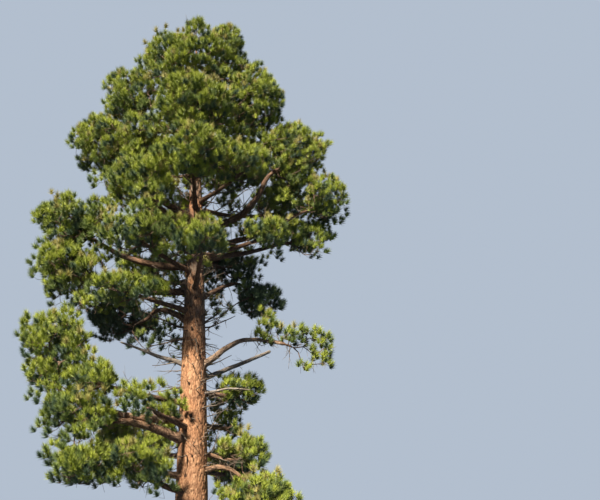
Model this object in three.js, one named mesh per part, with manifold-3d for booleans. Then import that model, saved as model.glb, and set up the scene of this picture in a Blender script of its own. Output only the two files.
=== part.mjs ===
// A tall old pine standing in the open: a stout trunk that leans a little, long bent boughs, a few
// dead limbs, and a ragged crown of separate masses of long needles with sky between them.
// Units are millimetres, +Z is up, and the origin is the middle of the flat cut at ground level.
// X runs to the right of someone who faces the tree, and -Y points at them.

import * as THREE from "three";
import { mergeVertices } from "three/addons/utils/BufferGeometryUtils.js";
import Module from "manifold-3d";

const wasm = await Module();
wasm.setup();

// Trunk
const TRUNK_HEIGHT = 24300; // where the leader ends among the top needles
const TAPER_HEIGHT = 24600; // where the taper would reach nothing
const TRUNK_RADIUS = 620; // at the ground, without the root flare
const TAPER_LOW = 0.55; // the taper's power at the foot,
const TAPER_RISE = 0.45; // and what it gains by the top
const LEADER_RADIUS = 22; // the thinnest that the leader gets
const FLARE = 190; // what the root flare adds at the ground
const FLARE_HEIGHT = 560; // how fast it dies away
const BUTTRESSES = 5; // swellings round the foot that run out into roots
const BUTTRESS_SHARE = 0.13;
const LEAN = 0.034; // sideways for each millimetre up, to the left
const SWEEP = 4.2e-7; // the lean's own growth
const TRUNK_SIDES = 16;
const TRUNK_RINGS = [
  0, 180, 420, 800, 1500, 3000, 5200, 7400, 9600, 11800, 14000, 16200, 18400, 20600, 22500,
];

// Clearances
const SEAT_GAP = 0.35; // between a limb and what carries it
const LIMB_GAP = 6; // between needles and any limb that passes them
const SPACE_GAP = 4; // between one mass's space and the next

// Boughs, live and dead: name, the height at which it leaves the trunk, the point that it bends
// through, its tip, and its radius at both ends
const BOUGHS = [
  ["bough_low_left_shelf", 7000, [-1640, -750, 7330], [-2560, -1300, 7390], [190, 95]],
  ["bough_low_left_rim", 7850, [-2290, -850, 7640], [-4330, -900, 8200], [165, 75]],
  ["bough_low_left_skirt", 5900, [-1500, -800, 5950], [-2200, -1400, 6050], [125, 70]],
  ["bough_low_right_lower", 6750, [600, 200, 6600], [1050, 300, 6550], [90, 50]],
  ["bough_low_right_skirt", 5900, [700, -300, 6180], [1450, -330, 5800], [105, 60]],
  ["arm_inner", 9300, [260, -180, 9900], [1060, -380, 10440], [135, 88]],
  ["bough_mid_left_dark", 11050, [-1450, 550, 11850], [-2050, 1200, 11880], [130, 72]],
  ["bough_mid_left_rim", 12450, [-2100, 250, 12450], [-3750, 300, 12640], [135, 72]],
  ["bough_shelf_left", 13400, [-2300, 100, 13480], [-3700, 120, 14000], [150, 82]],
  ["bough_mid_right_dark", 12000, [350, 450, 12720], [1000, 850, 13150], [110, 62]],
  ["bough_right_under", 13650, [1100, 550, 14250], [2200, 800, 14700], [130, 72]],
  ["bough_right_rim", 14350, [1100, 60, 14600], [3050, 100, 15700], [130, 72]],
  ["bough_upper_right", 14850, [1000, -350, 15400], [1900, -350, 16850], [165, 98]],
  ["bough_upper_left", 15300, [-1950, -250, 15950], [-2900, 0, 17000], [145, 82]],
  ["dead_limb_left", 9600, [-1880, -200, 10000], [-2910, -300, 10320], [92, 30]],
  ["dead_limb_right", 9050, [1200, 640, 9950], [2380, 950, 10600], [92, 62]],
  ["dead_limb_right_low", 8550, [700, -420, 8740], [1600, -640, 8690], [58, 20]],
];
// The long bare arm turns level at its knee, so its outer half is a limb of its own
const ARM_BEND = [1800, -480, 10500];
const ARM_TIP = [2650, -600, 10380];
const ARM_END_RADIUS = 52;
const KNEE_REACH = 420; // how far the inner half's direction is kept past the knee
const BOUGH_SIDES = 6;
const BOUGH_STEPS = 5;

// Foliage: name, the mass's middle, its half sizes, and what carries it: the bough whose tip it
// grows from, or the height at which its own stem leaves the trunk
const MASSES = [
  ["foliage_low_left_rim", [-4960, -600, 9870], [1430, 1210, 1770], "bough_low_left_rim"],
  ["foliage_low_left_inner", [-3460, -1300, 8820], [1060, 990, 880], 8300],
  ["foliage_low_left_front", [-1700, -2200, 7850], [990, 900, 900], 7450],
  ["foliage_low_left_shelf", [-3870, -1700, 7500], [1520, 1210, 900], "bough_low_left_shelf"],
  ["foliage_low_left_skirt", [-3290, -2000, 5860], [1650, 1320, 900], "bough_low_left_skirt"],
  ["foliage_low_left_near", [-1650, -1550, 5910], [1100, 1100, 910], 5350],
  ["foliage_low_right_upper", [1320, 600, 8940], [1120, 990, 790], 8750],
  ["foliage_low_right_mid", [960, 1200, 8000], [750, 770, 840], 7650],
  ["foliage_low_right_lower", [1530, 500, 6870], [1290, 990, 760], "bough_low_right_lower"],
  ["foliage_low_right_skirt", [2080, -300, 5330], [1630, 1430, 990], "bough_low_right_skirt"],
  ["foliage_arm", [3020, -600, 10500], [1750, 900, 950], "arm_outer"],
  ["foliage_mid_left_dark", [-3140, 2200, 12090], [1790, 1540, 1070], "bough_mid_left_dark"],
  ["foliage_mid_left_front", [-2700, -1500, 11850], [1850, 1320, 620], 11600],
  ["foliage_mid_left_rim", [-5130, 200, 13090], [1430, 1540, 1260], "bough_mid_left_rim"],
  ["foliage_shelf_left", [-5030, 200, 15060], [1730, 1540, 1120], "bough_shelf_left"],
  ["foliage_shelf_left_front", [-2500, -2000, 13700], [1540, 1320, 910], 13100],
  ["foliage_shelf_front", [-260, -3050, 12980], [1120, 1100, 810], 12450],
  ["foliage_shelf_right_dark", [650, 1800, 14300], [1540, 1100, 850], 13900],
  ["foliage_mid_right_dark", [1900, 1500, 12800], [1300, 1210, 880], "bough_mid_right_dark"],
  ["foliage_right_rim", [4230, 0, 16540], [1190, 1210, 1240], "bough_right_rim"],
  ["foliage_right_under", [3610, 1000, 15370], [1390, 1210, 870], "bough_right_under"],
  ["foliage_right_front", [2010, -1300, 14340], [1140, 990, 840], 13750],
  ["foliage_upper_left", [-4310, 100, 18350], [1530, 1540, 1550], "bough_upper_left"],
  ["foliage_upper_left_front", [-2510, -1900, 15880], [1500, 1210, 1210], 14600],
  ["foliage_upper_front", [-760, -2600, 16650], [1360, 1320, 1250], 15700],
  ["foliage_upper_right_front", [1180, -1700, 16940], [1130, 990, 1010], 16000],
  ["foliage_upper_right", [3000, 0, 18460], [1600, 1540, 1690], "bough_upper_right"],
  ["foliage_head_left", [-3430, -100, 20580], [1360, 1320, 1430], 19000],
  ["foliage_head_front", [-880, -1800, 19360], [1680, 1380, 1410], 18300],
  ["foliage_head_right", [1480, -300, 20490], [1510, 1540, 1710], 19400],
  ["foliage_top_left", [-1810, -200, 22470], [1580, 1430, 1540], 21400],
  ["foliage_top_right", [90, -100, 23020], [1410, 1320, 1610], 21900],
  ["foliage_top_peak", [-1130, -150, 24020], [680, 730, 800], 23400],
  ["foliage_back_low_left", [-2500, 2950, 7750], [1650, 1430, 1040], 6600],
  ["foliage_back_low_right", [1150, 2950, 6750], [1160, 1260, 1020], 6200],
  ["foliage_back_mid", [-2600, 3750, 14950], [1550, 1450, 950], 12900],
  ["foliage_back_shelf", [-1450, 3350, 17150], [1650, 1480, 1200], 15100],
  ["foliage_back_right", [2850, 3050, 17750], [1500, 1380, 1150], 15800],
  ["foliage_back_upper_left", [-3100, 3050, 19800], [1820, 1490, 1690], 17300],
  ["foliage_back_upper_right", [950, 2950, 19600], [1700, 1480, 1550], 17900],
  ["foliage_back_head", [-1150, 2500, 22000], [1820, 1380, 1490], 20200],
];
const SPARSE = ["foliage_arm"]; // masses without a core, which the sky shows through

// A mass's stem, from what carries it into the mass
const STEM_SIDES = 4;
const STEM_STEPS = 2;
const STEM_TAPER = 0.6;
const STEM_SUNK = 30; // how far it starts inside its bough, before the cut that frees it
const STEM_AIM = 0.25; // how far under the mass's middle it ends, against the half height
const STEM_LEAD = 0.4; // how long it keeps the bough's direction
const STEM_BEND = 0.55; // where a stem from the trunk bends,
const STEM_LIFT = 0.2; // and how much of its rise it has made there
const STEM_SHARE = 0.36; // its radius against the trunk's,
const STEM_RADIUS = 105; // and the most that it gets

// How a mass is filled. Shares are of its half sizes, measured from its middle.
const CORE_SHARE = 0.79; // how far a dense mass's core reaches at its twelve corners,
const CORE_LUMP = 0.1; // and how unevenly
const CORE_LEAST = 0.1; // a corner is drawn in no further than this,
const CORE_STEP = 0.03; // by steps
const DENSE_TIPS = 0.92; // the depth at which sprays may end, in a dense mass
const SPARSE_TIPS = 0.4; // and in a sparse one
const DOWNWARD = 1.75; // 2 spreads sprays evenly, and less keeps them off the underside
const SPRAY_SPACING = 3.5e6; // square millimetres of the space's surface for each spray
const SPRAY_SHARE = 0.58; // a dense mass's spray against the way from the stem's end to its tip
const TRIES_PER_SPRAY = 8;
const SPARSE_SPRAYS = 11;
const SPRAY_LENGTH = 700; // a sparse mass's spray,
const SPRAY_MOST = 0.8; // and the most of its twig that it takes up
const SPRAY_GIRTH = 0.62; // a spray's half width against its length
const SPRAY_TEETH = 3;
const NOTCH_SHARE = 0.5; // how deep the teeth are cut
const TOOTH_AHEAD = 0.8; // where the teeth and the notches stand between root and tip
const NOTCH_AHEAD = 0.6;
const ROOT_SUNK = 0.2; // how far a twig runs into its spray
const TWIG_RADIUS = 26;
const TWIG_TAPER = 1.5; // a twig's root against its end
const TWIG_SIDES = 3;
const FORKS = [0.55, 0.7, 0.85, 1]; // where twigs may leave the stem
const WAY_ALONG = 0.35; // what a step along the stem costs a twig against one of its own

// How closely curves are tested for what they touch
const LIMB_SAMPLES = 12;
const TWIG_SAMPLES = 8;
const WELD = 1e-3; // corners closer than this are one

// A point sequence that stays even however many of its points are used
const EVEN = 1.2207440846057596;
const GOLDEN = 0.6180339887498949;
const evenPoint = (i, shift) => [1, 2, 3].map((k) => (shift + i * EVEN ** -k) % 1);
const shiftOf = (index) => (0.5 + index * GOLDEN) % 1;

const vec = (list) => new THREE.Vector3(...list);

function cornersOf(geometry) {
  const place = geometry.attributes.position;
  return Array.from({ length: place.count }, (_, i) =>
    new THREE.Vector3().fromBufferAttribute(place, i),
  );
}

// Closed three.js geometry to solid, and back
function solidOf(geometry) {
  const bare = geometry.clone();
  bare.deleteAttribute("normal");
  bare.deleteAttribute("uv");
  const merged = mergeVertices(bare, WELD);
  const corners = Array.from(merged.index.array);
  const whole = [];
  for (let i = 0; i < corners.length; i += 3) {
    const [a, b, c] = corners.slice(i, i + 3);
    if (a !== b && b !== c && c !== a) whole.push(a, b, c);
  }
  return new wasm.Manifold(
    new wasm.Mesh({
      numProp: 3,
      vertProperties: merged.attributes.position.array,
      triVerts: new Uint32Array(whole),
    }),
  );
}

function geometryOf(solid) {
  const { numProp, numVert, vertProperties, triVerts } = solid.getMesh();
  const places = new Float32Array(numVert * 3);
  for (let i = 0; i < numVert; i++) {
    places.set(vertProperties.subarray(i * numProp, i * numProp + 3), i * 3);
  }
  const geometry = new THREE.BufferGeometry();
  geometry.setAttribute("position", new THREE.BufferAttribute(places, 3));
  geometry.setIndex(new THREE.BufferAttribute(triVerts, 1));
  geometry.computeVertexNormals();
  return geometry;
}

const largestOf = (solid) =>
  solid.decompose().reduce((best, piece) => (piece.volume() > best.volume() ? piece : best));

// Trunk: a turned profile, then each ring is moved to where the leaning trunk is at that height
const trunkCentre = (z) => new THREE.Vector3(-(LEAN * z + SWEEP * z * z), 0, z);

function trunkRadius(z) {
  const share = z / TAPER_HEIGHT;
  const taper = TRUNK_RADIUS * (1 - share) ** (TAPER_LOW + TAPER_RISE * share);
  return Math.max(LEADER_RADIUS, taper) + FLARE * Math.exp(-z / FLARE_HEIGHT);
}

function trunkGeometry(grow = 0) {
  const heights = [...TRUNK_RINGS, TRUNK_HEIGHT + grow];
  const rings = heights.map((z) => new THREE.Vector2(trunkRadius(z) + grow, z));
  const foot = new THREE.Vector2(0, 0);
  const tip = new THREE.Vector2(0, TRUNK_HEIGHT + grow);
  const geometry = new THREE.LatheGeometry([foot, ...rings, tip], TRUNK_SIDES);
  geometry.rotateX(Math.PI / 2);
  const place = geometry.attributes.position;
  for (let i = 0; i < place.count; i++) {
    const z = place.getZ(i);
    const angle = Math.atan2(place.getY(i), place.getX(i));
    const swell = 1 + BUTTRESS_SHARE * Math.cos(BUTTRESSES * angle) * Math.exp(-z / FLARE_HEIGHT);
    const centre = trunkCentre(z);
    place.setXYZ(i, centre.x + place.getX(i) * swell, centre.y + place.getY(i) * swell, z);
  }
  return geometry;
}

// A tapering limb: a cylinder whose rings are carried along a curve. What keeps others off it is
// the same limb, grown sideways and past both ends.
function limbGeometry(curve, startRadius, endRadius, sides, steps, grow = 0, past = grow) {
  const geometry = new THREE.CylinderGeometry(1, 1, 1, sides, steps);
  const place = geometry.attributes.position;
  for (let i = 0; i < place.count; i++) {
    const share = Math.min(1, Math.max(0, place.getY(i) + 0.5));
    const along = curve.getTangent(share);
    const side = new THREE.Vector3(0, 0, 1).cross(along).normalize();
    const over = along.clone().cross(side);
    const radius = THREE.MathUtils.lerp(startRadius, endRadius, share) + grow;
    const end = share === 1 ? past : share === 0 ? -past : 0;
    const point = curve
      .getPoint(share)
      .addScaledVector(along, end)
      .addScaledVector(side, place.getX(i) * radius)
      .addScaledVector(over, -place.getZ(i) * radius);
    place.setXYZ(i, point.x, point.y, point.z);
  }
  return geometry;
}

// The curve that leaves the trunk's axis, passes through the bend and ends at the tip
function boughCurve(start, bend, tip) {
  const control = bend.clone().multiplyScalar(2).sub(start.clone().add(tip).multiplyScalar(0.5));
  return new THREE.QuadraticBezierCurve3(start, control, tip);
}

// Every limb, as its solid, its curve and its tip, for what grows from it and what keeps clear
const limbs = new Map();

function addLimb(name, curve, startRadius, endRadius, cutter) {
  const shape = [curve, startRadius, endRadius, BOUGH_SIDES, BOUGH_STEPS];
  const whole = solidOf(limbGeometry(...shape));
  limbs.set(name, {
    solid: cutter ? whole.subtract(cutter) : whole,
    keepOut: solidOf(limbGeometry(...shape, LIMB_GAP)),
    seat: solidOf(limbGeometry(...shape, LIMB_GAP, SEAT_GAP)),
    curve,
    endRadius,
    widest: startRadius,
  });
}

const trunkSolid = solidOf(trunkGeometry());
const trunkSeat = solidOf(trunkGeometry(SEAT_GAP));
const trunkKeepOut = solidOf(trunkGeometry(LIMB_GAP));

for (const [name, height, bend, tip, radii] of BOUGHS) {
  addLimb(name, boughCurve(trunkCentre(height), vec(bend), vec(tip)), ...radii, trunkSeat);
}
const knee = limbs.get("arm_inner");
const kneeAlong = knee.curve.getTangent(1);
const kneeStart = knee.curve.getPoint(1).addScaledVector(kneeAlong, SEAT_GAP);
const kneeEnd = kneeStart.clone().addScaledVector(kneeAlong, KNEE_REACH);
const armCurve = new THREE.CubicBezierCurve3(kneeStart, kneeEnd, vec(ARM_BEND), vec(ARM_TIP));
addLimb("arm_outer", armCurve, knee.endRadius, ARM_END_RADIUS);

// A mass's stem runs from what carries it towards the middle of its space
function stemFromBough(bough, end) {
  const { curve, endRadius } = limbs.get(bough);
  const along = curve.getTangent(1);
  const start = curve.getPoint(1).addScaledVector(along, -STEM_SUNK);
  const control = start.clone().addScaledVector(along, STEM_LEAD * start.distanceTo(end));
  return { curve: new THREE.QuadraticBezierCurve3(start, control, end), radius: endRadius };
}

function stemFromTrunk(height, end) {
  const start = trunkCentre(height);
  const control = start.clone().lerp(end.clone().setZ(height), STEM_BEND);
  control.z += STEM_LIFT * (end.z - height);
  const radius = Math.min(STEM_SHARE * trunkRadius(height), STEM_RADIUS);
  return { curve: new THREE.QuadraticBezierCurve3(start, control, end), radius };
}

const masses = MASSES.map(([name, at, size, carrier], index) => {
  const bough = limbs.has(carrier) ? carrier : null;
  const centre = vec(at);
  const half = vec(size);
  const stemEnd = centre.clone().setZ(centre.z - STEM_AIM * half.z);
  return {
    name,
    index,
    centre,
    half,
    reach: Math.cbrt(half.x * half.y * half.z),
    bough,
    stem: bough ? stemFromBough(bough, stemEnd) : stemFromTrunk(carrier, stemEnd),
    sparse: SPARSE.includes(name),
  };
});

// A mass's own space: its ellipsoid, cut by a flat wall against each neighbour
function inSpace(mass, point, gap) {
  const d = point.clone().sub(mass.centre);
  if (d.clone().divide(mass.half).length() > 1) return false;
  return masses.every((other) => {
    if (other === mass) return true;
    const apart = other.centre.clone().sub(mass.centre);
    const length = apart.length();
    const wall = (length * length + mass.reach ** 2 - other.reach ** 2) / (2 * length);
    return d.dot(apart) / length < wall - gap;
  });
}

// Whether a point is inside a limb, or closer to it than the gap
function nearLimb(point, curve, radius, gap) {
  for (let i = 0; i <= LIMB_SAMPLES; i++) {
    if (point.distanceTo(curve.getPoint(i / LIMB_SAMPLES)) < radius + gap) return true;
  }
  return false;
}

const limbBlocks = (mass, point, gap) =>
  point.distanceTo(trunkCentre(point.z)) < trunkRadius(point.z) + gap ||
  [...limbs.values()].some((limb) => nearLimb(point, limb.curve, limb.widest, gap)) ||
  masses.some((m) => m !== mass && nearLimb(point, m.stem.curve, m.stem.radius, gap));

// A spray of needles: a star of pointed teeth between a root and a tip
function sprayGeometry(root, tip, girth, turn) {
  const spray = new THREE.ConeGeometry(1, 1, 2 * SPRAY_TEETH, 1);
  const along = tip.clone().sub(root).normalize();
  const aside = Math.abs(along.z) > 0.9 ? new THREE.Vector3(1, 0, 0) : new THREE.Vector3(0, 0, 1);
  const u = aside.cross(along).normalize();
  const v = along.clone().cross(u);
  const place = spray.attributes.position;
  for (let i = 0; i < place.count; i++) {
    const [x, y, z] = [place.getX(i), place.getY(i), place.getZ(i)];
    if (Math.hypot(x, z) < 0.5) {
      place.setXYZ(i, ...(y > 0 ? root : tip).toArray());
      continue;
    }
    const angle = Math.atan2(z, x);
    const tooth = Math.round((angle / Math.PI) * SPRAY_TEETH) % 2 === 0;
    const out = girth * (tooth ? 1 : NOTCH_SHARE);
    const point = root
      .clone()
      .lerp(tip, tooth ? TOOTH_AHEAD : NOTCH_AHEAD)
      .addScaledVector(u, out * Math.cos(angle + turn))
      .addScaledVector(v, out * Math.sin(angle + turn));
    place.setXYZ(i, point.x, point.y, point.z);
  }
  return spray;
}

// A dense mass's core: a coarse ball, turned its own way, whose corners reach out unevenly and are
// each drawn in until they are clear
function coreGeometry(mass) {
  const ball = new THREE.IcosahedronGeometry(1, 0);
  const place = ball.attributes.position;
  const shift = shiftOf(mass.index);
  const turn = new THREE.Euler(...evenPoint(3, shift).map((share) => 2 * Math.PI * share));
  const moved = new Map();
  for (let i = 0; i < place.count; i++) {
    const way = new THREE.Vector3().fromBufferAttribute(place, i);
    const key = way.toArray().map((c) => c.toFixed(3)).join();
    if (!moved.has(key)) {
      const out = way.applyEuler(turn).multiply(mass.half);
      let share = CORE_SHARE + CORE_LUMP * (2 * evenPoint(moved.size + 1, shift)[0] - 1);
      const corner = () => mass.centre.clone().addScaledVector(out, share);
      while (share > CORE_LEAST && !inSpace(mass, corner(), SPACE_GAP)) share -= CORE_STEP;
      moved.set(key, corner());
    }
    place.setXYZ(i, ...moved.get(key).toArray());
  }
  return ball;
}

// Where a spray may end: even points close under the space's surface, more of them above, and in
// a sparse mass deeper ones too
function sprayTip(mass, i) {
  const [a, b, c] = evenPoint(i, shiftOf(mass.index));
  const rise = 1 - DOWNWARD * a;
  const flat = Math.sqrt(1 - rise * rise);
  const way = new THREE.Vector3(
    flat * Math.cos(2 * Math.PI * b),
    flat * Math.sin(2 * Math.PI * b),
    rise,
  );
  const share = THREE.MathUtils.lerp(mass.sparse ? SPARSE_TIPS : DENSE_TIPS, 1, c);
  return mass.centre.clone().addScaledVector(way.multiply(mass.half), share);
}

// The stem's point that reaches a tip by the shortest way, counting the way along the stem
function forkFor(mass, tip) {
  const { curve } = mass.stem;
  const length = curve.getLength();
  const room = SPACE_GAP + 2 * TWIG_RADIUS;
  const choices = FORKS.map((share) => ({ share, point: curve.getPoint(share) }))
    .filter(({ share, point }) => share === 1 || inSpace(mass, point, room))
    .map(({ share, point }) => {
      return { point, cost: point.distanceTo(tip) + WAY_ALONG * share * length };
    });
  return choices.reduce((best, choice) => (choice.cost < best.cost ? choice : best)).point;
}

const isClear = (mass, point, gap) =>
  inSpace(mass, point, SPACE_GAP + gap) && !limbBlocks(mass, point, LIMB_GAP + gap);

function cornersClear(mass, geometry) {
  return cornersOf(geometry).every((corner) => isClear(mass, corner, 0));
}

// In a dense mass all twigs leave the stem's end, inside the core, and a spray's long root is its
// own twig. Nothing is made where a spray would touch a limb or leave the space.
function denseSpray(mass, tip) {
  const root = tip.clone().lerp(mass.stem.curve.getPoint(1), SPRAY_SHARE);
  const spray = sprayGeometry(root, tip, SPRAY_GIRTH * root.distanceTo(tip), tip.x);
  return cornersClear(mass, spray) ? [solidOf(spray)] : [];
}

// In a sparse mass each spray stands at the end of a bare twig
function sparseSpray(mass, tip) {
  const fork = forkFor(mass, tip);
  const root = tip.clone().lerp(fork, Math.min(SPRAY_MOST, SPRAY_LENGTH / tip.distanceTo(fork)));
  const spray = sprayGeometry(root, tip, SPRAY_GIRTH * root.distanceTo(tip), tip.x);
  const twigEnd = root.clone().lerp(tip, ROOT_SUNK);
  for (let k = 1; k < TWIG_SAMPLES; k++) {
    if (!isClear(mass, fork.clone().lerp(twigEnd, k / TWIG_SAMPLES), TWIG_RADIUS)) return [];
  }
  if (!cornersClear(mass, spray)) return [];
  const line = new THREE.LineCurve3(fork, twigEnd);
  const twig = limbGeometry(line, TWIG_TAPER * TWIG_RADIUS, TWIG_RADIUS, TWIG_SIDES, 1);
  return [solidOf(spray), solidOf(twig)];
}

const stemGeometry = ({ curve, radius }, grow) =>
  limbGeometry(curve, radius, radius * STEM_TAPER, STEM_SIDES, STEM_STEPS, grow);

// How many sprays a mass gets: by the surface of its ellipsoid
function spraysOf({ half, sparse }) {
  if (sparse) return SPARSE_SPRAYS;
  const surface = (4 * Math.PI * (half.x * half.y + half.y * half.z + half.z * half.x)) / 3;
  return Math.round(surface / SPRAY_SPACING) + 1;
}

function massSolid(mass) {
  const parts = [solidOf(stemGeometry(mass.stem, 0))];
  if (!mass.sparse) parts.push(solidOf(coreGeometry(mass)));
  const wanted = spraysOf(mass);
  let made = 0;
  for (let i = 1; made < wanted && i < wanted * TRIES_PER_SPRAY; i++) {
    const tip = sprayTip(mass, i);
    const pieces = mass.sparse ? sparseSpray(mass, tip) : denseSpray(mass, tip);
    parts.push(...pieces);
    if (pieces.length) made++;
  }
  let solid = wasm.Manifold.union(parts).subtract(mass.bough ? trunkKeepOut : trunkSeat);
  for (const [name, limb] of limbs) {
    solid = solid.subtract(name === mass.bough ? limb.seat : limb.keepOut);
  }
  for (const other of masses) {
    if (other !== mass) solid = solid.subtract(solidOf(stemGeometry(other.stem, LIMB_GAP)));
  }
  return largestOf(solid);
}

// Finishes
const BARK = new THREE.MeshStandardMaterial({ color: 0xa9714a, roughness: 0.9, metalness: 0 });
const LIMB_BARK = new THREE.MeshStandardMaterial({ color: 0x8c5f42, roughness: 0.9, metalness: 0 });
const DEAD_WOOD = new THREE.MeshStandardMaterial({ color: 0x9a8878, roughness: 0.85, metalness: 0 });
const NEEDLES = new THREE.MeshStandardMaterial({ color: 0x5f7a2a, roughness: 0.6, metalness: 0 });

function meshOf(name, solid, material) {
  const mesh = new THREE.Mesh(geometryOf(solid), material);
  mesh.name = name;
  return mesh;
}

const wood = new THREE.Group();
wood.add(meshOf("trunk", trunkSolid, BARK));
for (const [name, limb] of limbs) {
  wood.add(meshOf(name, limb.solid, name.startsWith("dead") ? DEAD_WOOD : LIMB_BARK));
}

const crown = new THREE.Group();
for (const mass of masses) {
  crown.add(meshOf(mass.name, massSolid(mass), NEEDLES));
}

const pine = new THREE.Group();
pine.add(wood, crown);
export default pine;
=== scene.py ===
# %% [markdown]
# # An old pine, from its solids to its needles
# The CAD solids fix where everything stands: the leaning trunk, each bough, and the space that
# each mass of foliage fills. This script keeps that frame and grows the visible tree inside it:
# bark with real relief, branches that fork down to shoots, and tufts of long needles at the
# shoots' ends. Everything is in metres, +Z is up, and the origin is the middle of the trunk's
# foot. The noise gets a seed here, because it would take one from the clock otherwise.

# %% Load the frame
import itertools
import math
from collections import namedtuple

import bmesh
import bpy
import numpy as np
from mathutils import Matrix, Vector, noise


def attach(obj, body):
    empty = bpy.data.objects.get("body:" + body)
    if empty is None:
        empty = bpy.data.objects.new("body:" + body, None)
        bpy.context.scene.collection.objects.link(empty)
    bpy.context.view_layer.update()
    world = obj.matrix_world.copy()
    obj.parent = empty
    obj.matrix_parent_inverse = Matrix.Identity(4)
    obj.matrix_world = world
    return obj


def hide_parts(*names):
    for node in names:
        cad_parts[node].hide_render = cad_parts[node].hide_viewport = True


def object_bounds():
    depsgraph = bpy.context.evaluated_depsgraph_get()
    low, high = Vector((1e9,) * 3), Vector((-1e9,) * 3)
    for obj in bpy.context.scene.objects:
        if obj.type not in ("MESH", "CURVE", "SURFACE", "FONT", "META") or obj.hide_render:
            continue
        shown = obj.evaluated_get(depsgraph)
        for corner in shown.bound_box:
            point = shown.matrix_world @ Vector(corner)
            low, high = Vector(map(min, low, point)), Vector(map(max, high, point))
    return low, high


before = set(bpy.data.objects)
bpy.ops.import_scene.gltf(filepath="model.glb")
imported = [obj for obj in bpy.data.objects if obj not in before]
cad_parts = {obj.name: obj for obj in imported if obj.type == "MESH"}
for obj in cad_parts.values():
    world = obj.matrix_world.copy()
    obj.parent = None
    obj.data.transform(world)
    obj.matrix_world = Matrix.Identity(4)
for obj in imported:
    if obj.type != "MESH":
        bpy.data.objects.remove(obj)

NOISE_SEED = 11
noise.seed_set(NOISE_SEED)
cad_low, cad_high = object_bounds()
print("the solids reach from", tuple(cad_low), "to", tuple(cad_high))

# %% [markdown]
# ## The viewer
# The photo is taken from the ground, looking up at the crown, so the trunk's lower part falls out
# of the picture. A camera at eye height, 27 m from the tree and tilted up by 25 degrees, gives the
# same view. It comes first, so that every later step can be judged through it.

# %% Camera
EYE = (0, -27, 1.6)
LENS = 48
TILT = 25
TURN = 7.04
FARTHEST = 300

viewer_lens = bpy.data.cameras.new("viewer")
viewer_lens.lens = LENS
viewer_lens.clip_end = FARTHEST
viewer = bpy.data.objects.new("viewer", viewer_lens)
viewer.location = EYE
viewer.rotation_euler = (math.radians(90 + TILT), 0, -math.radians(TURN))
bpy.context.scene.collection.objects.link(viewer)
bpy.context.scene.camera = viewer
print("camera", EYE, "looks up", TILT, "degrees through", LENS, "mm")

# %% [markdown]
# ## Floor and light
# The tree stands on a plain floor under a plain surround. One large lamp far off to the upper
# left, behind the viewer, stands in for low sun: it brings out the tufts, and leaves the right
# edge of the trunk and the undersides dark, as in the photo. What the sun doesn't reach gets a dim
# blue, like the shade under an open sky. The viewer sees a paler colour in its place. The floor is
# pale too but throws no light up into the crown, as the dark ground of a forest doesn't.

# %% Floor, surround and sun
FLOOR_RADIUS = 150
FLOOR_DROP = 0.002
FLOOR_COLOUR = (0.32, 0.315, 0.31)
FLOOR_ROUGHNESS = 0.9
SUN_FROM = (-0.41, -0.66, 0.63)
SUN_STRENGTH = 10.0
SUN_SPREAD = 5
SUN_COLOUR = (1, 0.93, 0.8)
FILL = (0.40, 0.62, 1.0)
FILL_STRENGTH = 0.17
BACKDROP = (0.45, 0.52, 0.62)

disc = bmesh.new()
bmesh.ops.create_circle(disc, cap_ends=True, radius=FLOOR_RADIUS, segments=96)
for corner in disc.verts:
    corner.co.z = -FLOOR_DROP
floor_mesh = bpy.data.meshes.new("floor")
disc.to_mesh(floor_mesh)
disc.free()
floor = bpy.data.objects.new("floor", floor_mesh)
bpy.context.scene.collection.objects.link(floor)
pale = bpy.data.materials.new("pale_floor")
pale.use_nodes = True
pale_shader = pale.node_tree.nodes["Principled BSDF"]
pale_shader.inputs["Base Color"].default_value = (*FLOOR_COLOUR, 1)
pale_shader.inputs["Roughness"].default_value = FLOOR_ROUGHNESS
floor.data.materials.append(pale)
floor.visible_diffuse = False

surround = bpy.data.worlds.new("surround")
surround.use_nodes = True
sky = surround.node_tree
fill = sky.nodes["Background"]
fill.inputs["Color"].default_value = (*FILL, 1)
fill.inputs["Strength"].default_value = FILL_STRENGTH
backdrop = sky.nodes.new("ShaderNodeBackground")
backdrop.inputs["Color"].default_value = (*BACKDROP, 1)
seen = sky.nodes.new("ShaderNodeLightPath")
choose = sky.nodes.new("ShaderNodeMixShader")
sky.links.new(seen.outputs["Is Camera Ray"], choose.inputs["Fac"])
sky.links.new(fill.outputs["Background"], choose.inputs[1])
sky.links.new(backdrop.outputs["Background"], choose.inputs[2])
sky.links.new(choose.outputs["Shader"], sky.nodes["World Output"].inputs["Surface"])
bpy.context.scene.world = surround

sun_lamp = bpy.data.lights.new("low_sun", "SUN")
sun_lamp.energy = SUN_STRENGTH
sun_lamp.angle = math.radians(SUN_SPREAD)
sun_lamp.color = SUN_COLOUR
sun = bpy.data.objects.new("low_sun", sun_lamp)
sun.rotation_euler = Vector(SUN_FROM).to_track_quat("Z", "Y").to_euler()
bpy.context.scene.collection.objects.link(sun)
bpy.context.scene.view_settings.view_transform = "Standard"
print("sun stands", round(math.degrees(math.asin(Vector(SUN_FROM).normalized().z))), "degrees high")

# %% [markdown]
# ## The trunk's own rule
# The trunk leans a little to the left, tapers slowly at first and faster near the top, and swells
# into a root flare with five low buttresses. These are the same formulas as in the solids' source,
# written in metres, so that the bark lands on the solid's surface.

# %% Trunk rule
TRUNK_TOP = 24.3
TAPER_HEIGHT = 24.6
TRUNK_RADIUS = 0.62
TAPER_LOW = 0.55
TAPER_RISE = 0.45
LEADER_RADIUS = 0.022
FLARE = 0.19
FLARE_HEIGHT = 0.56
BUTTRESSES = 5
BUTTRESS_SHARE = 0.13
LEAN = 0.034
SWEEP = 4.2e-4


def trunk_centre(z):
    """The trunk's axis at these heights."""
    z = np.asarray(z, float)
    return np.stack([-(LEAN * z + SWEEP * z * z), 0 * z, z], -1)


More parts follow.
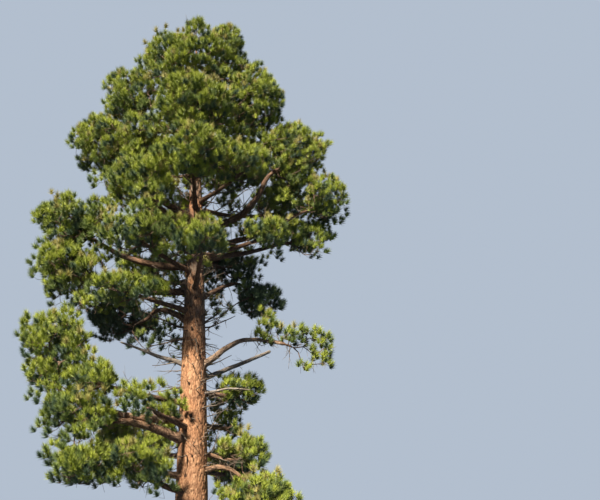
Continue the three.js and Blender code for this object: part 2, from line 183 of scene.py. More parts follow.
def trunk_radius(z):
    """The trunk's radius at these heights, without the buttresses."""
    share = np.clip(np.asarray(z, float) / TAPER_HEIGHT, 0, 1)
    taper = TRUNK_RADIUS * (1 - share) ** (TAPER_LOW + TAPER_RISE * share)
    return np.maximum(LEADER_RADIUS, taper) + FLARE * np.exp(-np.asarray(z) / FLARE_HEIGHT)


def buttress_swell(angle, z):
    """What the buttresses do to the radius at this angle and height."""
    return 1 + BUTTRESS_SHARE * np.cos(BUTTRESSES * angle) * np.exp(-z / FLARE_HEIGHT)


print("trunk is", round(2 * float(trunk_radius(1.3)), 2), "m through at breast height")

# %% [markdown]
# ## Smooth curves
# Boughs, stems and branches are smooth curves through a few points. One control point makes a
# plain bend, and two make the arm's knee, which leaves in one direction and arrives in another.

# %% Curves
UP = np.array([0, 0, 1.0])
LEVEL = np.array([1, 1, 0])


def unit(v):
    """Vectors of length one."""
    v = np.asarray(v, float)
    return v / np.maximum(np.linalg.norm(v, axis=-1, keepdims=True), 1e-9)


def along_line(points):
    """How far along a line of points each one lies, in metres."""
    steps = np.linalg.norm(np.diff(points, axis=0), axis=1)
    return np.concatenate([[0], np.cumsum(steps)])


def bent_curve(start, control, end, count):
    """Points of the curve that leaves start towards control and comes to end from there."""
    t = np.linspace(0, 1, count)[:, None]
    return (1 - t) ** 2 * start + 2 * t * (1 - t) * control + t * t * end


def knee_curve(start, leave, arrive, end, count):
    """The same with two controls."""
    t = np.linspace(0, 1, count)[:, None]
    s = 1 - t
    return s**3 * start + 3 * s * s * t * leave + 3 * s * t * t * arrive + t**3 * end


def outward_of(place):
    """The level direction from the trunk's axis to a place."""
    return unit((place - trunk_centre(place[2])) * LEVEL)


turned = bent_curve(np.array([1.0, 0, 0]), np.array([1.0, 1, 0]), np.array([0, 1.0, 0]), 40)
print("a bend round one corner of a metre square is", round(along_line(turned)[-1], 2), "m long")

# %% [markdown]
# ## Even sequences
# What grows on the limbs is placed by a number sequence that stays even however many of its
# members are used. It needs no random generator, so the tree is the same each time. It steps
# through the unit cube by the powers of one number, as the golden ratio does on a line.

# %% Even points
EVEN = 1.2207440846057596
GOLDEN = 0.6180339887498949


def even_points(count, shift):
    """Points that fill the unit cube evenly, however many are used."""
    i = np.arange(1, 1 + count)[:, None]
    return (shift + i * EVEN ** -np.arange(1.0, 4.0)) % 1


def shift_of(index):
    """A start of its own for each sequence."""
    return (0.5 + index * GOLDEN) % 1


print("the first even point is", even_points(1, shift_of(0))[0].round(3))

# %% [markdown]
# ## Bark relief
# Old pine bark is a jigsaw of flat plates, longer than they are wide, with deep furrows between
# them. Cells grown round scattered points have just such borders: a point's height follows from
# how much nearer it is to its own cell's middle than to the next one's. The pattern is laid out on
# the straightened limb, so it bends with the bough, and it shapes the mesh itself. The same
# numbers are kept on the mesh as attributes, for the colours to follow.

# %% Height of the bark
PLATE_STRETCH = 2.6
FURROW_SHARE = 0.2
WANDER, FINE_WANDER = 0.5, 0.22
WIDE_SCALE, FINE_SCALE, ROUGH_SCALE, OWN_SCALE = 1.3, 4.1, 6, 31.7
PLATE_LEVEL, PLATE_VARIES, PLATE_ROUGH = 0.72, 0.16, 0.12


def bark_at(place, plate):
    """Height above the furrows (0 to 1) and the plate's own number, on a straightened limb."""
    cell = Vector((place[0] / plate, place[1] / plate, place[2] / (plate * PLATE_STRETCH)))
    wide, fine = noise.noise_vector(cell * WIDE_SCALE), noise.noise_vector(cell * FINE_SCALE)
    cell += WANDER * wide + FINE_WANDER * fine
    gaps, middles = noise.voronoi(cell)
    border = min(1, (gaps[1] - gaps[0]) / FURROW_SHARE)
    rough = 0.5 + 0.5 * noise.noise(cell * ROUGH_SCALE)
    own = noise.cell(middles[0] * OWN_SCALE)
    height = border * border * (3 - 2 * border)
    return height * (PLATE_LEVEL + PLATE_VARIES * own + PLATE_ROUGH * rough), own


print("bark height at three spots", [round(bark_at((0.5, 0, z), 0.13)[0], 2) for z in (1, 2, 3)])

# %% [markdown]
# ## Knots
# Where a limb died long ago the bark has grown over its stump: a low swelling round a dark hollow
# a few centimetres across. The photo shows them as dark spots all over the trunk below the crown,
# so they are spread evenly there, a little denser higher up. A stub still stands in every second
# one, which comes with the dead twigs.

# %% Knots on the trunk
KNOTS = 110
KNOT_LOWEST = 5.4
KNOT_HIGHEST = 16.5
KNOT_CROWDING = 0.75
KNOT_SIZE = 0.05
KNOT_LONG = 0.8
KNOT_SWELL, SWELL_REACH = 0.25, 1.5
HOLLOW_REACH = 0.8

trunk_knots = []
for a, b, c in even_points(KNOTS, 0.29):
    height = KNOT_LOWEST + (KNOT_HIGHEST - KNOT_LOWEST) * a**KNOT_CROWDING
    angle = 2 * math.pi * b
    radius = float(trunk_radius(height))
    trunk_knots.append(
        (radius * math.cos(angle), radius * math.sin(angle), height, KNOT_SIZE * (0.7 + c))
    )


def knot_relief(straight, knots):
    """How far knots swell a straight limb at these points, and how deep in a hollow each lies."""
    swell, hollow = np.zeros(len(straight)), np.zeros(len(straight))
    for *middle, size in knots:
        apart = np.linalg.norm((straight - middle) * (1, 1, KNOT_LONG), axis=1) / size
        swell = np.maximum(swell, KNOT_SWELL * size * np.exp(-((apart / SWELL_REACH) ** 2)))
        hollow = np.maximum(hollow, np.exp(-((apart / HOLLOW_REACH) ** 4)))
    return swell, hollow


print(len(trunk_knots), "knots, the lowest at", round(min(knot[2] for knot in trunk_knots), 1), "m")

# %% [markdown]
# ## A limb of bark
# Every limb is a grid wrapped into a tube along its curve: one direction of the grid goes round,
# the other along. Moving the grid's points keeps the faces that the operator made, the seam is
# merged afterwards, and the open ends are filled. Furrows are pressed in from the solid's surface,
# so only the knots' low swellings stand proud of it. The trunk's rings stay level, and a bough's
# turn with its curve.

# %% Grid to limb
DEEPEST_FURROW = 0.3


def limb_frames(line, way, upright):
    """Centre, side, over and metres at each share of the way along a line of points."""
    reach = along_line(line)
    metres = way * reach[-1]
    centre = np.stack([np.interp(metres, reach, line[:, k]) for k in range(3)], -1)
    if upright:
        side, over = np.array([1.0, 0, 0]), np.array([0, 1.0, 0])
        return centre, np.tile(side, (len(way), 1)), np.tile(over, (len(way), 1)), metres
    slope = unit(np.gradient(line, reach, axis=0))
    along = unit(np.stack([np.interp(metres, reach, slope[:, k]) for k in range(3)], -1))
    side = unit(np.cross(UP, along))
    return centre, side, np.cross(along, side), metres


def bark_limb(name, line, radius_at, grid, plates, upright=False, spread=None, knots=()):
    """A closed limb of bark along a line.

    radius_at takes the angle, the share of the way and the metres. grid is the count of corners
    round the limb and along it, and plates the size of the plates and the depth of the furrows.
    """
    plate, depth = plates
    limb = bmesh.new()
    bmesh.ops.create_grid(limb, x_segments=grid[0], y_segments=grid[1], size=0.5)
    flat = np.array([corner.co[:2] for corner in limb.verts]) + 0.5
    angle, way = 2 * np.pi * flat[:, 0], flat[:, 1]
    if spread:
        way = spread(way)
    centre, side, over, metres = limb_frames(line, way, upright)
    radius = radius_at(angle, way, metres)
    straight = np.stack([radius * np.cos(angle), radius * np.sin(angle), metres], -1)
    swell, hollow = knot_relief(straight, knots)
    relief_layer = limb.verts.layers.float.new("relief")
    plate_layer = limb.verts.layers.float.new("plate")
    space_layer = limb.verts.layers.float_vector.new("limb_space")
    for i, corner in enumerate(limb.verts):
        height, own = bark_at(straight[i], plate)
        height *= 1 - hollow[i]
        corner[relief_layer] = height - hollow[i]
        corner[plate_layer] = own
        corner[space_layer] = straight[i]
        furrow = min(depth, DEEPEST_FURROW * radius[i]) * (1 - height)
        out = radius[i] - furrow + swell[i]
        spoke = math.cos(angle[i]) * side[i] + math.sin(angle[i]) * over[i]
        corner.co = centre[i] + out * spoke
    bmesh.ops.remove_doubles(limb, verts=limb.verts, dist=1e-5)
    rims = [edge for edge in limb.edges if edge.is_boundary]
    bmesh.ops.holes_fill(limb, edges=rims, sides=0)
    bmesh.ops.recalc_face_normals(limb, faces=limb.faces)
    for face in limb.faces:
        face.smooth = True
    mesh = bpy.data.meshes.new(name)
    limb.to_mesh(mesh)
    limb.free()
    piece = bpy.data.objects.new(name, mesh)
    bpy.context.scene.collection.objects.link(piece)
    return piece


def hand_over(piece, slot, *nodes):
    """Ties a piece to the tree's one body and hides the solids whose place it takes, if any."""
    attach(piece, "root")
    if nodes:
        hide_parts(*nodes)


level_limb = np.array([[0, 0, 5.0], [2.0, 0, 5.0]])
_, side, over, _ = limb_frames(level_limb, np.array([0.5]), False)
print("half way along a level limb, its side is", side[0], "and over it is", over[0])

# %% [markdown]
# ## The trunk's bark
# The trunk's bark is the oldest, so it has the widest plates and the deepest furrows, and its grid
# is fine enough for a furrow of a few centimetres. Its rings stay level, which keeps the cut at the
# ground flat, and more of them go to the lower trunk, which shows.

# %% Trunk piece
TRUNK_GRID = (132, 700)
TRUNK_PLATES = (0.12, 0.03)
FINE_RINGS = 0.8
FINE_HEIGHT = 0.6
TIP_ROUND = 0.004


def trunk_outline(angle, way, z):
    """The trunk's radius with its buttresses, rounded off at the leader's tip."""
    rounded = np.sqrt(np.clip((1 - way) / TIP_ROUND, 0.02, 1))
    return trunk_radius(z) * buttress_swell(angle, z) * rounded


def trunk_spread(way):
    """The rings' heights, as shares: closer together on the lower trunk."""
    return np.interp(way, [0, FINE_RINGS, 1], [0, FINE_HEIGHT, 1])


trunk_line = trunk_centre(np.linspace(0, TRUNK_TOP, 200))
trunk_bark = bark_limb(
    "trunk_bark_plates", trunk_line, trunk_outline, TRUNK_GRID, TRUNK_PLATES,
    upright=True, spread=trunk_spread, knots=trunk_knots,
)
hand_over(trunk_bark, "trunk_bark", "trunk")
print("trunk bark has", len(trunk_bark.data.polygons), "faces")

# %% [markdown]
# ## The boughs
# Each bough leaves the trunk's axis, passes through a bend and ends at its tip, where a mass of
# foliage takes over. The table is the solids' own. The long bare arm on the right is two limbs,
# because it turns level at a knee: the inner one is in the table, and the outer one goes on from
# its tip.

# %% Bough table
BOUGHS = [
    # name, height on the trunk, bend, tip, radius at the trunk and at the tip
    ("bough_low_left_shelf", 7.0, (-1.64, -0.75, 7.33), (-2.56, -1.3, 7.39), (0.19, 0.095)),
    ("bough_low_left_rim", 7.85, (-2.29, -0.85, 7.64), (-4.33, -0.9, 8.2), (0.165, 0.075)),
    ("bough_low_left_skirt", 5.9, (-1.5, -0.8, 5.95), (-2.2, -1.4, 6.05), (0.125, 0.07)),
    ("bough_low_right_lower", 6.75, (0.6, 0.2, 6.6), (1.05, 0.3, 6.55), (0.09, 0.05)),
    ("bough_low_right_skirt", 5.9, (0.7, -0.3, 6.18), (1.45, -0.33, 5.8), (0.105, 0.06)),
    ("arm_inner", 9.3, (0.26, -0.18, 9.9), (1.06, -0.38, 10.44), (0.135, 0.088)),
    ("bough_mid_left_dark", 11.05, (-1.45, 0.55, 11.85), (-2.05, 1.2, 11.88), (0.13, 0.072)),
    ("bough_mid_left_rim", 12.45, (-2.1, 0.25, 12.45), (-3.75, 0.3, 12.64), (0.135, 0.072)),
    ("bough_shelf_left", 13.4, (-2.3, 0.1, 13.48), (-3.7, 0.12, 14.0), (0.15, 0.082)),
    ("bough_mid_right_dark", 12.0, (0.35, 0.45, 12.72), (1.0, 0.85, 13.15), (0.11, 0.062)),
    ("bough_right_under", 13.65, (1.1, 0.55, 14.25), (2.2, 0.8, 14.7), (0.13, 0.072)),
    ("bough_right_rim", 14.35, (1.1, 0.06, 14.6), (3.05, 0.1, 15.7), (0.13, 0.072)),
    ("bough_upper_right", 14.85, (1.0, -0.35, 15.4), (1.9, -0.35, 16.85), (0.165, 0.098)),
    ("bough_upper_left", 15.3, (-1.95, -0.25, 15.95), (-2.9, 0.0, 17.0), (0.145, 0.082)),
    ("dead_limb_left", 9.6, (-1.88, -0.2, 10.0), (-2.91, -0.3, 10.32), (0.092, 0.03)),
    ("dead_limb_right", 9.05, (1.2, 0.64, 9.95), (2.38, 0.95, 10.6), (0.092, 0.062)),
    ("dead_limb_right_low", 8.55, (0.7, -0.42, 8.74), (1.6, -0.64, 8.69), (0.058, 0.02)),
]
ARM_BEND = np.array([1.8, -0.48, 10.5])
ARM_TIP = np.array([2.65, -0.6, 10.38])
ARM_END_RADIUS = 0.052
KNEE_REACH = 0.42
KNEE_OVERLAP = 0.12
CURVE_POINTS = 40

limb_lines = {}
for name, height, bend, tip, radii in BOUGHS:
    start, bend, tip = trunk_centre(height), np.array(bend), np.array(tip)
    control = 2 * bend - (start + tip) / 2
    limb_lines[name] = (bent_curve(start, control, tip, CURVE_POINTS), *radii)
knee_line, _, knee_radius = limb_lines["arm_inner"]
knee, knee_way = knee_line[-1], unit(knee_line[-1] - knee_line[-2])
knee_start = knee - KNEE_OVERLAP * knee_way
arm_line = knee_curve(knee_start, knee + KNEE_REACH * knee_way, ARM_BEND, ARM_TIP, CURVE_POINTS)
limb_lines["arm_outer"] = (arm_line, knee_radius, ARM_END_RADIUS)
print("boughs:", len(limb_lines), "of lengths",
      [round(float(along_line(line)[-1]), 1) for line, _, _ in limb_lines.values()])

# %% [markdown]
# ## The boughs' bark
# The real limbs are knotty, so each one strays a little from its smooth curve between its two
# ends. It has a collar where it leaves the trunk, and a dead limb is rounded off at its bare tip.
# The part of a bough that lies deep inside the trunk isn't made.

# %% Bough pieces
BOUGH_AROUND = 28
LIMB_PLATES = (0.075, 0.014)
BOUGH_RING = 0.035
COLLAR = 0.35
COLLAR_LENGTH = 0.16
STRAY = 0.035
TRUNK_START = 0.5


def strayed(line, amount, seed):
    """The line with small bends between its two ends."""
    reach = along_line(line)
    ease = np.sin(np.pi * reach / reach[-1])[:, None]
    wobble = np.array([noise.noise_vector(Vector((2.1 * s, seed, 0.3))) for s in reach])
    return line + amount * ease * wobble


def outside_trunk(line):
    """The part of a limb's line that isn't deep inside the trunk."""
    return line[along_line(line) >= TRUNK_START * float(trunk_radius(line[0][2]))]


def limb_outline(start_radius, end_radius, collar, length, blunt):
    """A limb's radius along its way, with its collar, and rounded off where its end is bare."""
    def outline(angle, way, metres):
        straight = start_radius + (end_radius - start_radius) * way
        swollen = 1 + collar * np.exp(-metres / COLLAR_LENGTH)
        rounded = np.sqrt(np.clip((length - metres) / end_radius, 0.03, 1)) if blunt else 1
        return straight * swollen * rounded
    return outline


bough_barks = []
for index, (name, (line, start_radius, end_radius)) in enumerate(limb_lines.items()):
    from_trunk, dead = name != "arm_outer", name.startswith("dead")
    line = strayed(outside_trunk(line) if from_trunk else line, STRAY, 7.3 * index)
    length = float(along_line(line)[-1])
    outline = limb_outline(start_radius, end_radius, COLLAR * from_trunk, length, dead)
    rings = max(12, round(length / BOUGH_RING))
    piece = bark_limb(name + "_bark", line, outline, (BOUGH_AROUND, rings), LIMB_PLATES)
    hand_over(piece, "dead_wood" if dead else "limb_bark", name)
    bough_barks.append(piece)
print("bough bark:", sum(len(piece.data.polygons) for piece in bough_barks), "faces")

# %% [markdown]
# ## The masses' own spaces
# Each mass of foliage keeps to its own space: an ellipsoid, cut by a flat wall against every
# neighbour, so that two masses never claim the same air. The table and the walls are the solids'
# own. The last value says what carries a mass: a bough, or the height at which its stem leaves the
# trunk.

# %% Mass table
MASSES = [
    # name, centre, half sizes, carrier
    ("foliage_low_left_rim", (-4.96, -0.6, 9.87), (1.43, 1.21, 1.77), "bough_low_left_rim"),
    ("foliage_low_left_inner", (-3.46, -1.3, 8.82), (1.06, 0.99, 0.88), 8.3),
    ("foliage_low_left_front", (-1.7, -2.2, 7.85), (0.99, 0.9, 0.9), 7.45),
    ("foliage_low_left_shelf", (-3.87, -1.7, 7.5), (1.52, 1.21, 0.9), "bough_low_left_shelf"),
    ("foliage_low_left_skirt", (-3.29, -2.0, 5.86), (1.65, 1.32, 0.9), "bough_low_left_skirt"),
    ("foliage_low_left_near", (-1.65, -1.55, 5.91), (1.1, 1.1, 0.91), 5.35),
    ("foliage_low_right_upper", (1.32, 0.6, 8.94), (1.12, 0.99, 0.79), 8.75),
    ("foliage_low_right_mid", (0.96, 1.2, 8.0), (0.75, 0.77, 0.84), 7.65),
    ("foliage_low_right_lower", (1.53, 0.5, 6.87), (1.29, 0.99, 0.76), "bough_low_right_lower"),
    ("foliage_low_right_skirt", (2.08, -0.3, 5.33), (1.63, 1.43, 0.99), "bough_low_right_skirt"),
    ("foliage_arm", (3.02, -0.6, 10.5), (1.75, 0.9, 0.95), "arm_outer"),
    ("foliage_mid_left_dark", (-3.14, 2.2, 12.09), (1.79, 1.54, 1.07), "bough_mid_left_dark"),
    ("foliage_mid_left_front", (-2.7, -1.5, 11.85), (1.85, 1.32, 0.62), 11.6),
    ("foliage_mid_left_rim", (-5.13, 0.2, 13.09), (1.43, 1.54, 1.26), "bough_mid_left_rim"),
    ("foliage_shelf_left", (-5.03, 0.2, 15.06), (1.73, 1.54, 1.12), "bough_shelf_left"),
    ("foliage_shelf_left_front", (-2.5, -2.0, 13.7), (1.54, 1.32, 0.91), 13.1),
    ("foliage_shelf_front", (-0.26, -3.05, 12.98), (1.12, 1.1, 0.81), 12.45),
    ("foliage_shelf_right_dark", (0.65, 1.8, 14.3), (1.54, 1.1, 0.85), 13.9),
    ("foliage_mid_right_dark", (1.9, 1.5, 12.8), (1.3, 1.21, 0.88), "bough_mid_right_dark"),
    ("foliage_right_rim", (4.23, 0.0, 16.54), (1.19, 1.21, 1.24), "bough_right_rim"),
    ("foliage_right_under", (3.61, 1.0, 15.37), (1.39, 1.21, 0.87), "bough_right_under"),
    ("foliage_right_front", (2.01, -1.3, 14.34), (1.14, 0.99, 0.84), 13.75),
    ("foliage_upper_left", (-4.31, 0.1, 18.35), (1.53, 1.54, 1.55), "bough_upper_left"),
    ("foliage_upper_left_front", (-2.51, -1.9, 15.88), (1.5, 1.21, 1.21), 14.6),
    ("foliage_upper_front", (-0.76, -2.6, 16.65), (1.36, 1.32, 1.25), 15.7),
    ("foliage_upper_right_front", (1.18, -1.7, 16.94), (1.13, 0.99, 1.01), 16.0),
    ("foliage_upper_right", (3.0, 0.0, 18.46), (1.6, 1.54, 1.69), "bough_upper_right"),
    ("foliage_head_left", (-3.43, -0.1, 20.58), (1.36, 1.32, 1.43), 19.0),
    ("foliage_head_front", (-0.88, -1.8, 19.36), (1.68, 1.38, 1.41), 18.3),
    ("foliage_head_right", (1.48, -0.3, 20.49), (1.51, 1.54, 1.71), 19.4),
    ("foliage_top_left", (-1.81, -0.2, 22.47), (1.58, 1.43, 1.54), 21.4),
    ("foliage_top_right", (0.09, -0.1, 23.02), (1.41, 1.32, 1.61), 21.9),
    ("foliage_top_peak", (-1.13, -0.15, 24.02), (0.68, 0.73, 0.8), 23.4),
    ("foliage_back_low_left", (-2.5, 2.95, 7.75), (1.65, 1.43, 1.04), 6.6),
    ("foliage_back_low_right", (1.15, 2.95, 6.75), (1.16, 1.26, 1.02), 6.2),
    ("foliage_back_mid", (-2.6, 3.75, 14.95), (1.55, 1.45, 0.95), 12.9),
    ("foliage_back_shelf", (-1.45, 3.35, 17.15), (1.65, 1.48, 1.2), 15.1),
    ("foliage_back_right", (2.85, 3.05, 17.75), (1.5, 1.38, 1.15), 15.8),
    ("foliage_back_upper_left", (-3.1, 3.05, 19.8), (1.82, 1.49, 1.69), 17.3),
    ("foliage_back_upper_right", (0.95, 2.95, 19.6), (1.7, 1.48, 1.55), 17.9),
    ("foliage_back_head", (-1.15, 2.5, 22.0), (1.82, 1.38, 1.49), 20.2),
]
BALL = 4.19
centres = np.array([row[1] for row in MASSES])
halves = np.array([row[2] for row in MASSES])
reaches = np.cbrt(halves.prod(axis=1))
print(len(MASSES), "masses, of", round(float((BALL * halves.prod(axis=1)).sum())), "cubic metres")

# %% [markdown]
# ## Inside a space or not
# Tufts have to know whether they stand in their mass's space, with room for their needles, and
# clear of the trunk. A real mass isn't a smooth ball, so soft noise dents each ellipsoid with
# hollows of about a metre, which only ever take away from it.

# %% Spaces
WALL_MARGIN = 0.04
HOLLOWS = 0.22
HOLLOW_SIZE = 1.1
HOLLOW_NOISE = 0.9
NEEDLE_REACH = 0.17
TRUNK_MARGIN = 0.1


def wall_between(mass, other):
    """The vector from one mass to another, its length, and how far along it their wall stands."""
    apart = centres[other] - centres[mass]
    length = np.linalg.norm(apart)
    return apart, length, (length**2 + reaches[mass] ** 2 - reaches[other] ** 2) / (2 * length)


def off_trunk(points):
    """Which points stand clear of the trunk."""
    z = np.minimum(points[:, 2], TRUNK_TOP)
    from_trunk = np.linalg.norm(points - trunk_centre(z), axis=1)
    return from_trunk > trunk_radius(z) + TRUNK_MARGIN


def in_space(mass, points, margin):
    """Which points lie in the mass's space, this far inside its surface and off the trunk."""
    off = points - centres[mass]
    own = Vector((3 * mass, 0, 0))
    hollow = [
        0.5 + HOLLOW_NOISE * noise.noise(Vector(spot) / HOLLOW_SIZE + own) for spot in off
    ]
    inside = np.linalg.norm(off / np.maximum(halves[mass] - margin, 0.1), axis=1) <= (
        1 - HOLLOWS * np.clip(hollow, 0, 1)
    )
    for other in range(len(MASSES)):
        if other != mass:
            apart, length, wall = wall_between(mass, other)
            inside &= off @ apart / length < wall - WALL_MARGIN
    return inside & off_trunk(points)


print("a mass's middle lies in its space:", bool(in_space(0, centres[:1], 0)[0]))

# %% [markdown]
# ## Stems
# A mass on a bough goes on from the bough's tip, in the bough's direction. A mass on the trunk has
# a stem of its own, which leaves the trunk and rises into the mass. Both end a little under the
# mass's middle, as they do in the solids.

# %% Stem rule
STEM_SUNK = 0.03
STEM_AIM = 0.25
STEM_LEAD = 0.4
STEM_BEND = 0.55
STEM_LIFT = 0.2
STEM_SHARE = 0.36
STEM_RADIUS = 0.105
STEM_TAPER = 0.6
STEM_POINTS = 12


def stem_of(mass):
    """The stem's line and its radius at each point."""
    _, centre, half, carrier = MASSES[mass]
    end = np.array(centre) - (0, 0, STEM_AIM * half[2])
    if isinstance(carrier, str):
        line, _, radius = limb_lines[carrier]
        way = unit(line[-1] - line[-2])
        start = line[-1] - STEM_SUNK * way
        control = start + STEM_LEAD * np.linalg.norm(end - start) * way
    else:
        start = trunk_centre(carrier)
        level = np.array([end[0], end[1], carrier])
        control = start + STEM_BEND * (level - start) + (0, 0, STEM_LIFT * (end[2] - carrier))
        radius = min(STEM_SHARE * float(trunk_radius(carrier)), STEM_RADIUS)
    line = bent_curve(start, control, end, STEM_POINTS)
    return line, np.linspace(radius, radius * STEM_TAPER, STEM_POINTS)


stems = [stem_of(mass) for mass in range(len(MASSES))]
print("stems:", [round(float(along_line(line)[-1]), 1) for line, _ in stems])

# %% [markdown]
# ## From the photo into the tree
# Many small things stand where the photo shows them. A sighting is a spot of the photo, in pixels
# across and down, with a depth behind the trunk's foot, which only judgement can give. The
# camera's direction and its lens turn a sighting into a place in the tree.

# %% Sightings
PHOTO_MIDDLE = (300, 250)
SENSOR = 36
FOCUS = 2 * PHOTO_MIDDLE[0] * LENS / SENSOR
tilt, turn = math.radians(TILT), math.radians(TURN)
AHEAD = np.array([math.sin(turn) * math.cos(tilt), math.cos(turn) * math.cos(tilt), math.sin(tilt)])
RIGHTWARD = np.array([math.cos(turn), -math.sin(turn), 0])
UPWARD = np.cross(RIGHTWARD, AHEAD)
eye = np.array(EYE)


def sighted(sights):
    """The places seen this far across and down the photo, this deep behind the trunk's foot."""
    across, down, depth = np.array(sights, float).T
    ways = (
        AHEAD + ((across - PHOTO_MIDDLE[0]) / FOCUS)[:, None] * RIGHTWARD
        - ((down - PHOTO_MIDDLE[1]) / FOCUS)[:, None] * UPWARD
    )
    return eye + ways * ((depth - EYE[1]) / ways[:, 1])[:, None]


def sight_ways(spots):
    """The directions from the eye to spots of the photo."""
    return unit(sighted([(across, down, 0) for across, down, *_ in spots]) - eye)


def off_sights(ways, places):
    """How far each place stands from each line of sight."""
    return np.linalg.norm(np.cross(ways[:, None], places - eye), axis=2)


print("the photo's middle shows, at the trunk's depth,", sighted([(*PHOTO_MIDDLE, 0)]).round(2))

# %% [markdown]
# ## Sprays between the masses
# A real crown has no seams. Where the photo shows needles and no mass of the solids stands, a
# small spray fills the place: a few tufts on a branch of their own. Their places were read off the
# photo one by one: along the crown's ragged edge, in the gaps between two masses, and in the dark
# behind the trunk.

# %% Sprays in the photo
SPRAY_SIGHTS = [
    (176, 186, -0.6), (181, 191, 0.8), (208, 186, 0.9), (222, 196, 1.2), (228, 206, 1),
    (212, 183, -0.5), (234, 226, 0.6), (239, 233, 0), (100, 252, -0.3), (108, 262, 0.3),
    (176, 250, 0.9), (180, 259, 0.6), (177, 276, 0.9), (176, 299, 0.9), (210, 289, 1.2),
    (217, 300, 1.5), (223, 311, 1.3), (212, 319, 1.2), (209, 305, 1), (140, 341, 1.6),
    (155, 347, 1.5), (167, 343, 1.2), (175, 353, 1), (130, 338, 2), (213, 382, 1), (209, 404, 0.9),
    (222, 408, 1.4), (211, 444, 0.9), (174, 410, -0.8), (174, 428, 0.7), (174, 446, 0.8),
    (70, 438, -1.5), (42, 392, -1), (102, 484, -2), (163, 490, -1.4), (213, 492, -0.2),
    (62, 299, 1), (82, 300, 1.2), (125, 205, -0.5), (112, 203, 0), (270, 254, 0.9), (246, 256, 1),
    (202, 32, -0.2), (208, 240, 1.3), (216, 247, 1.4), (226, 250, 1.2), (233, 262, 1.5),
    (242, 257, 1), (217, 262, 1.6), (209, 270, 1.5), (224, 274, 1.8), (236, 281, 1.9),
    (215, 283, 1.6), (150, 300, 1.4), (160, 311, 1.6), (147, 322, 1.8), (160, 328, 1.5),
    (172, 316, 1.2), (170, 332, 1.3), (178, 288, 1.1), (166, 262, 1.6), (158, 254, 1.2),
    (170, 228, 1.4), (176, 215, 1.2), (150, 215, 1.4), (214, 222, 1.5), (171, 236, -2.5),
    (176, 246, -2.6), (169, 252, -2.3), (182, 240, -2.8), (160, 238, -2.2), (150, 184, -1.5),
    (214, 150, -1.6), (228, 138, -1), (160, 150, -1.6), (190, 150, -2.2), (205, 128, -1.6),
    (180, 100, -1.4), (222, 110, -1.2), (236, 160, -0.6), (246, 200, 0.2), (120, 200, -0.8),
    (150, 120, -1), (165, 75, -0.8), (130, 250, -1.2), (206, 222, -1.8), (216, 232, -1.2),
    (176, 398, -0.15), (172, 408, -0.2), (178, 414, -0.2), (168, 420, -0.3), (177, 428, -0.2),
    (164, 404, -0.5), (160, 414, -0.8), (170, 396, -0.3), (156, 122, -0.9), (132, 121, -0.5),
    (230, 78, -0.6), (149, 77, -0.5), (237, 129, -0.5), (245, 124, -0.2), (225, 125, -0.9),
    (204, 63, -0.7), (145, 110, -0.6), (165, 108, -1.2), (141, 129, -0.7), (120, 112, -0.3),
    (170, 60, -0.5), (215, 100, -1.2), (120, 140, -0.6), (185, 128, -2.2), (232, 145, -0.8),
    (250, 165, -0.3), (100, 262, 0.4), (92, 240, -0.2), (270, 245, 0.3), (255, 232, -0.2),
    (195, 240, -2.7), (206, 250, -2.2), (146, 200, -1.4), (155, 206, -1), (198, 262, -1.4),
    (150, 190, -2.9), (150, 204, -2.9), (149, 219, -2.9), (149, 232, -2.9), (140, 226, -3.2),
    (161, 232, -2.3), (138, 210, -3.3), (158, 86, -0.6), (135, 123, -0.8), (161, 132, -1.2),
    (204, 65, -0.6), (228, 79, -0.4), (256, 139, -0.3), (242, 135, -0.6), (218, 61, -0.4),
    (85, 305, -0.3), (92, 308, 0.3), (78, 303, -0.6), (102, 177, -0.6), (105, 181, -0.4),
    (40, 264, 0), (44, 274, 0), (340, 207, 0), (334, 214, 0.2), (312, 250, 0.6), (305, 248, 0.8),
    (319, 246, 0.6), (213, 34, -0.1), (140, 391, -1.2), (150, 387, -1.2), (128, 390, -1.3),
    (320, 142, 0), (313, 140, 0.3), (254, 69, 0), (77, 137, 0.1), (111, 84, 0), (96, 300, 0.6),
    (100, 306, 1), (88, 299, 0.6), (199, 53, 0.5), (209, 63, 0.5), (228, 58, 0.4), (230, 82, 0.6),
    (222, 126, 0.6), (233, 134, 0.6), (256, 139, 0.6), (242, 132, 0.7), (218, 134, 0.5),
    (128, 77, 0.4), (158, 86, 0.4), (137, 125, 0.4), (149, 98, 0.4), (174, 132, 0.3),
    (228, 150, 0.8), (245, 150, 0.8), (212, 266, 1.8), (222, 268, 2), (232, 272, 1.9),
    (214, 278, 2.2), (226, 281, 2.1), (48, 424, -1.4), (56, 428, -1.5), (52, 452, -1.8),
    (31, 322, -0.5), (30, 334, -0.5), (97, 205, -0.6), (100, 214, -0.8), (98, 224, -0.9),
    (104, 232, -1), (172, 222, -2.5), (178, 229, -2.7), (122, 185, -0.9), (118, 176, -0.8),
    (124, 168, -1), (134, 150, -1), (128, 158, -1), (140, 165, -1.3), (150, 172, -1.6),
    (165, 165, -2), (228, 170, -1.2), (222, 178, -1.6), (252, 150, -0.6), (262, 158, -0.4),
    (270, 168, -0.3), (290, 185, -0.2), (300, 190, 0), (285, 200, -0.3), (50, 395, -1.2),
    (70, 398, -1.4), (90, 400, -1.6), (110, 402, -1.7), (60, 380, -1),
]
print(len(SPRAY_SIGHTS), "sprays stand where the photo shows them")

# %% [markdown]
# ## Sprays along the creases
# Two masses that touch meet in a crease, and a row of creases would make the crown look like a
# heap of balls. Sprays bridge them: they follow the crease on the crown's outside, a little under
# the surface, wherever no third mass covers it. A few deep notches do show in the photo, and they
# stay open.

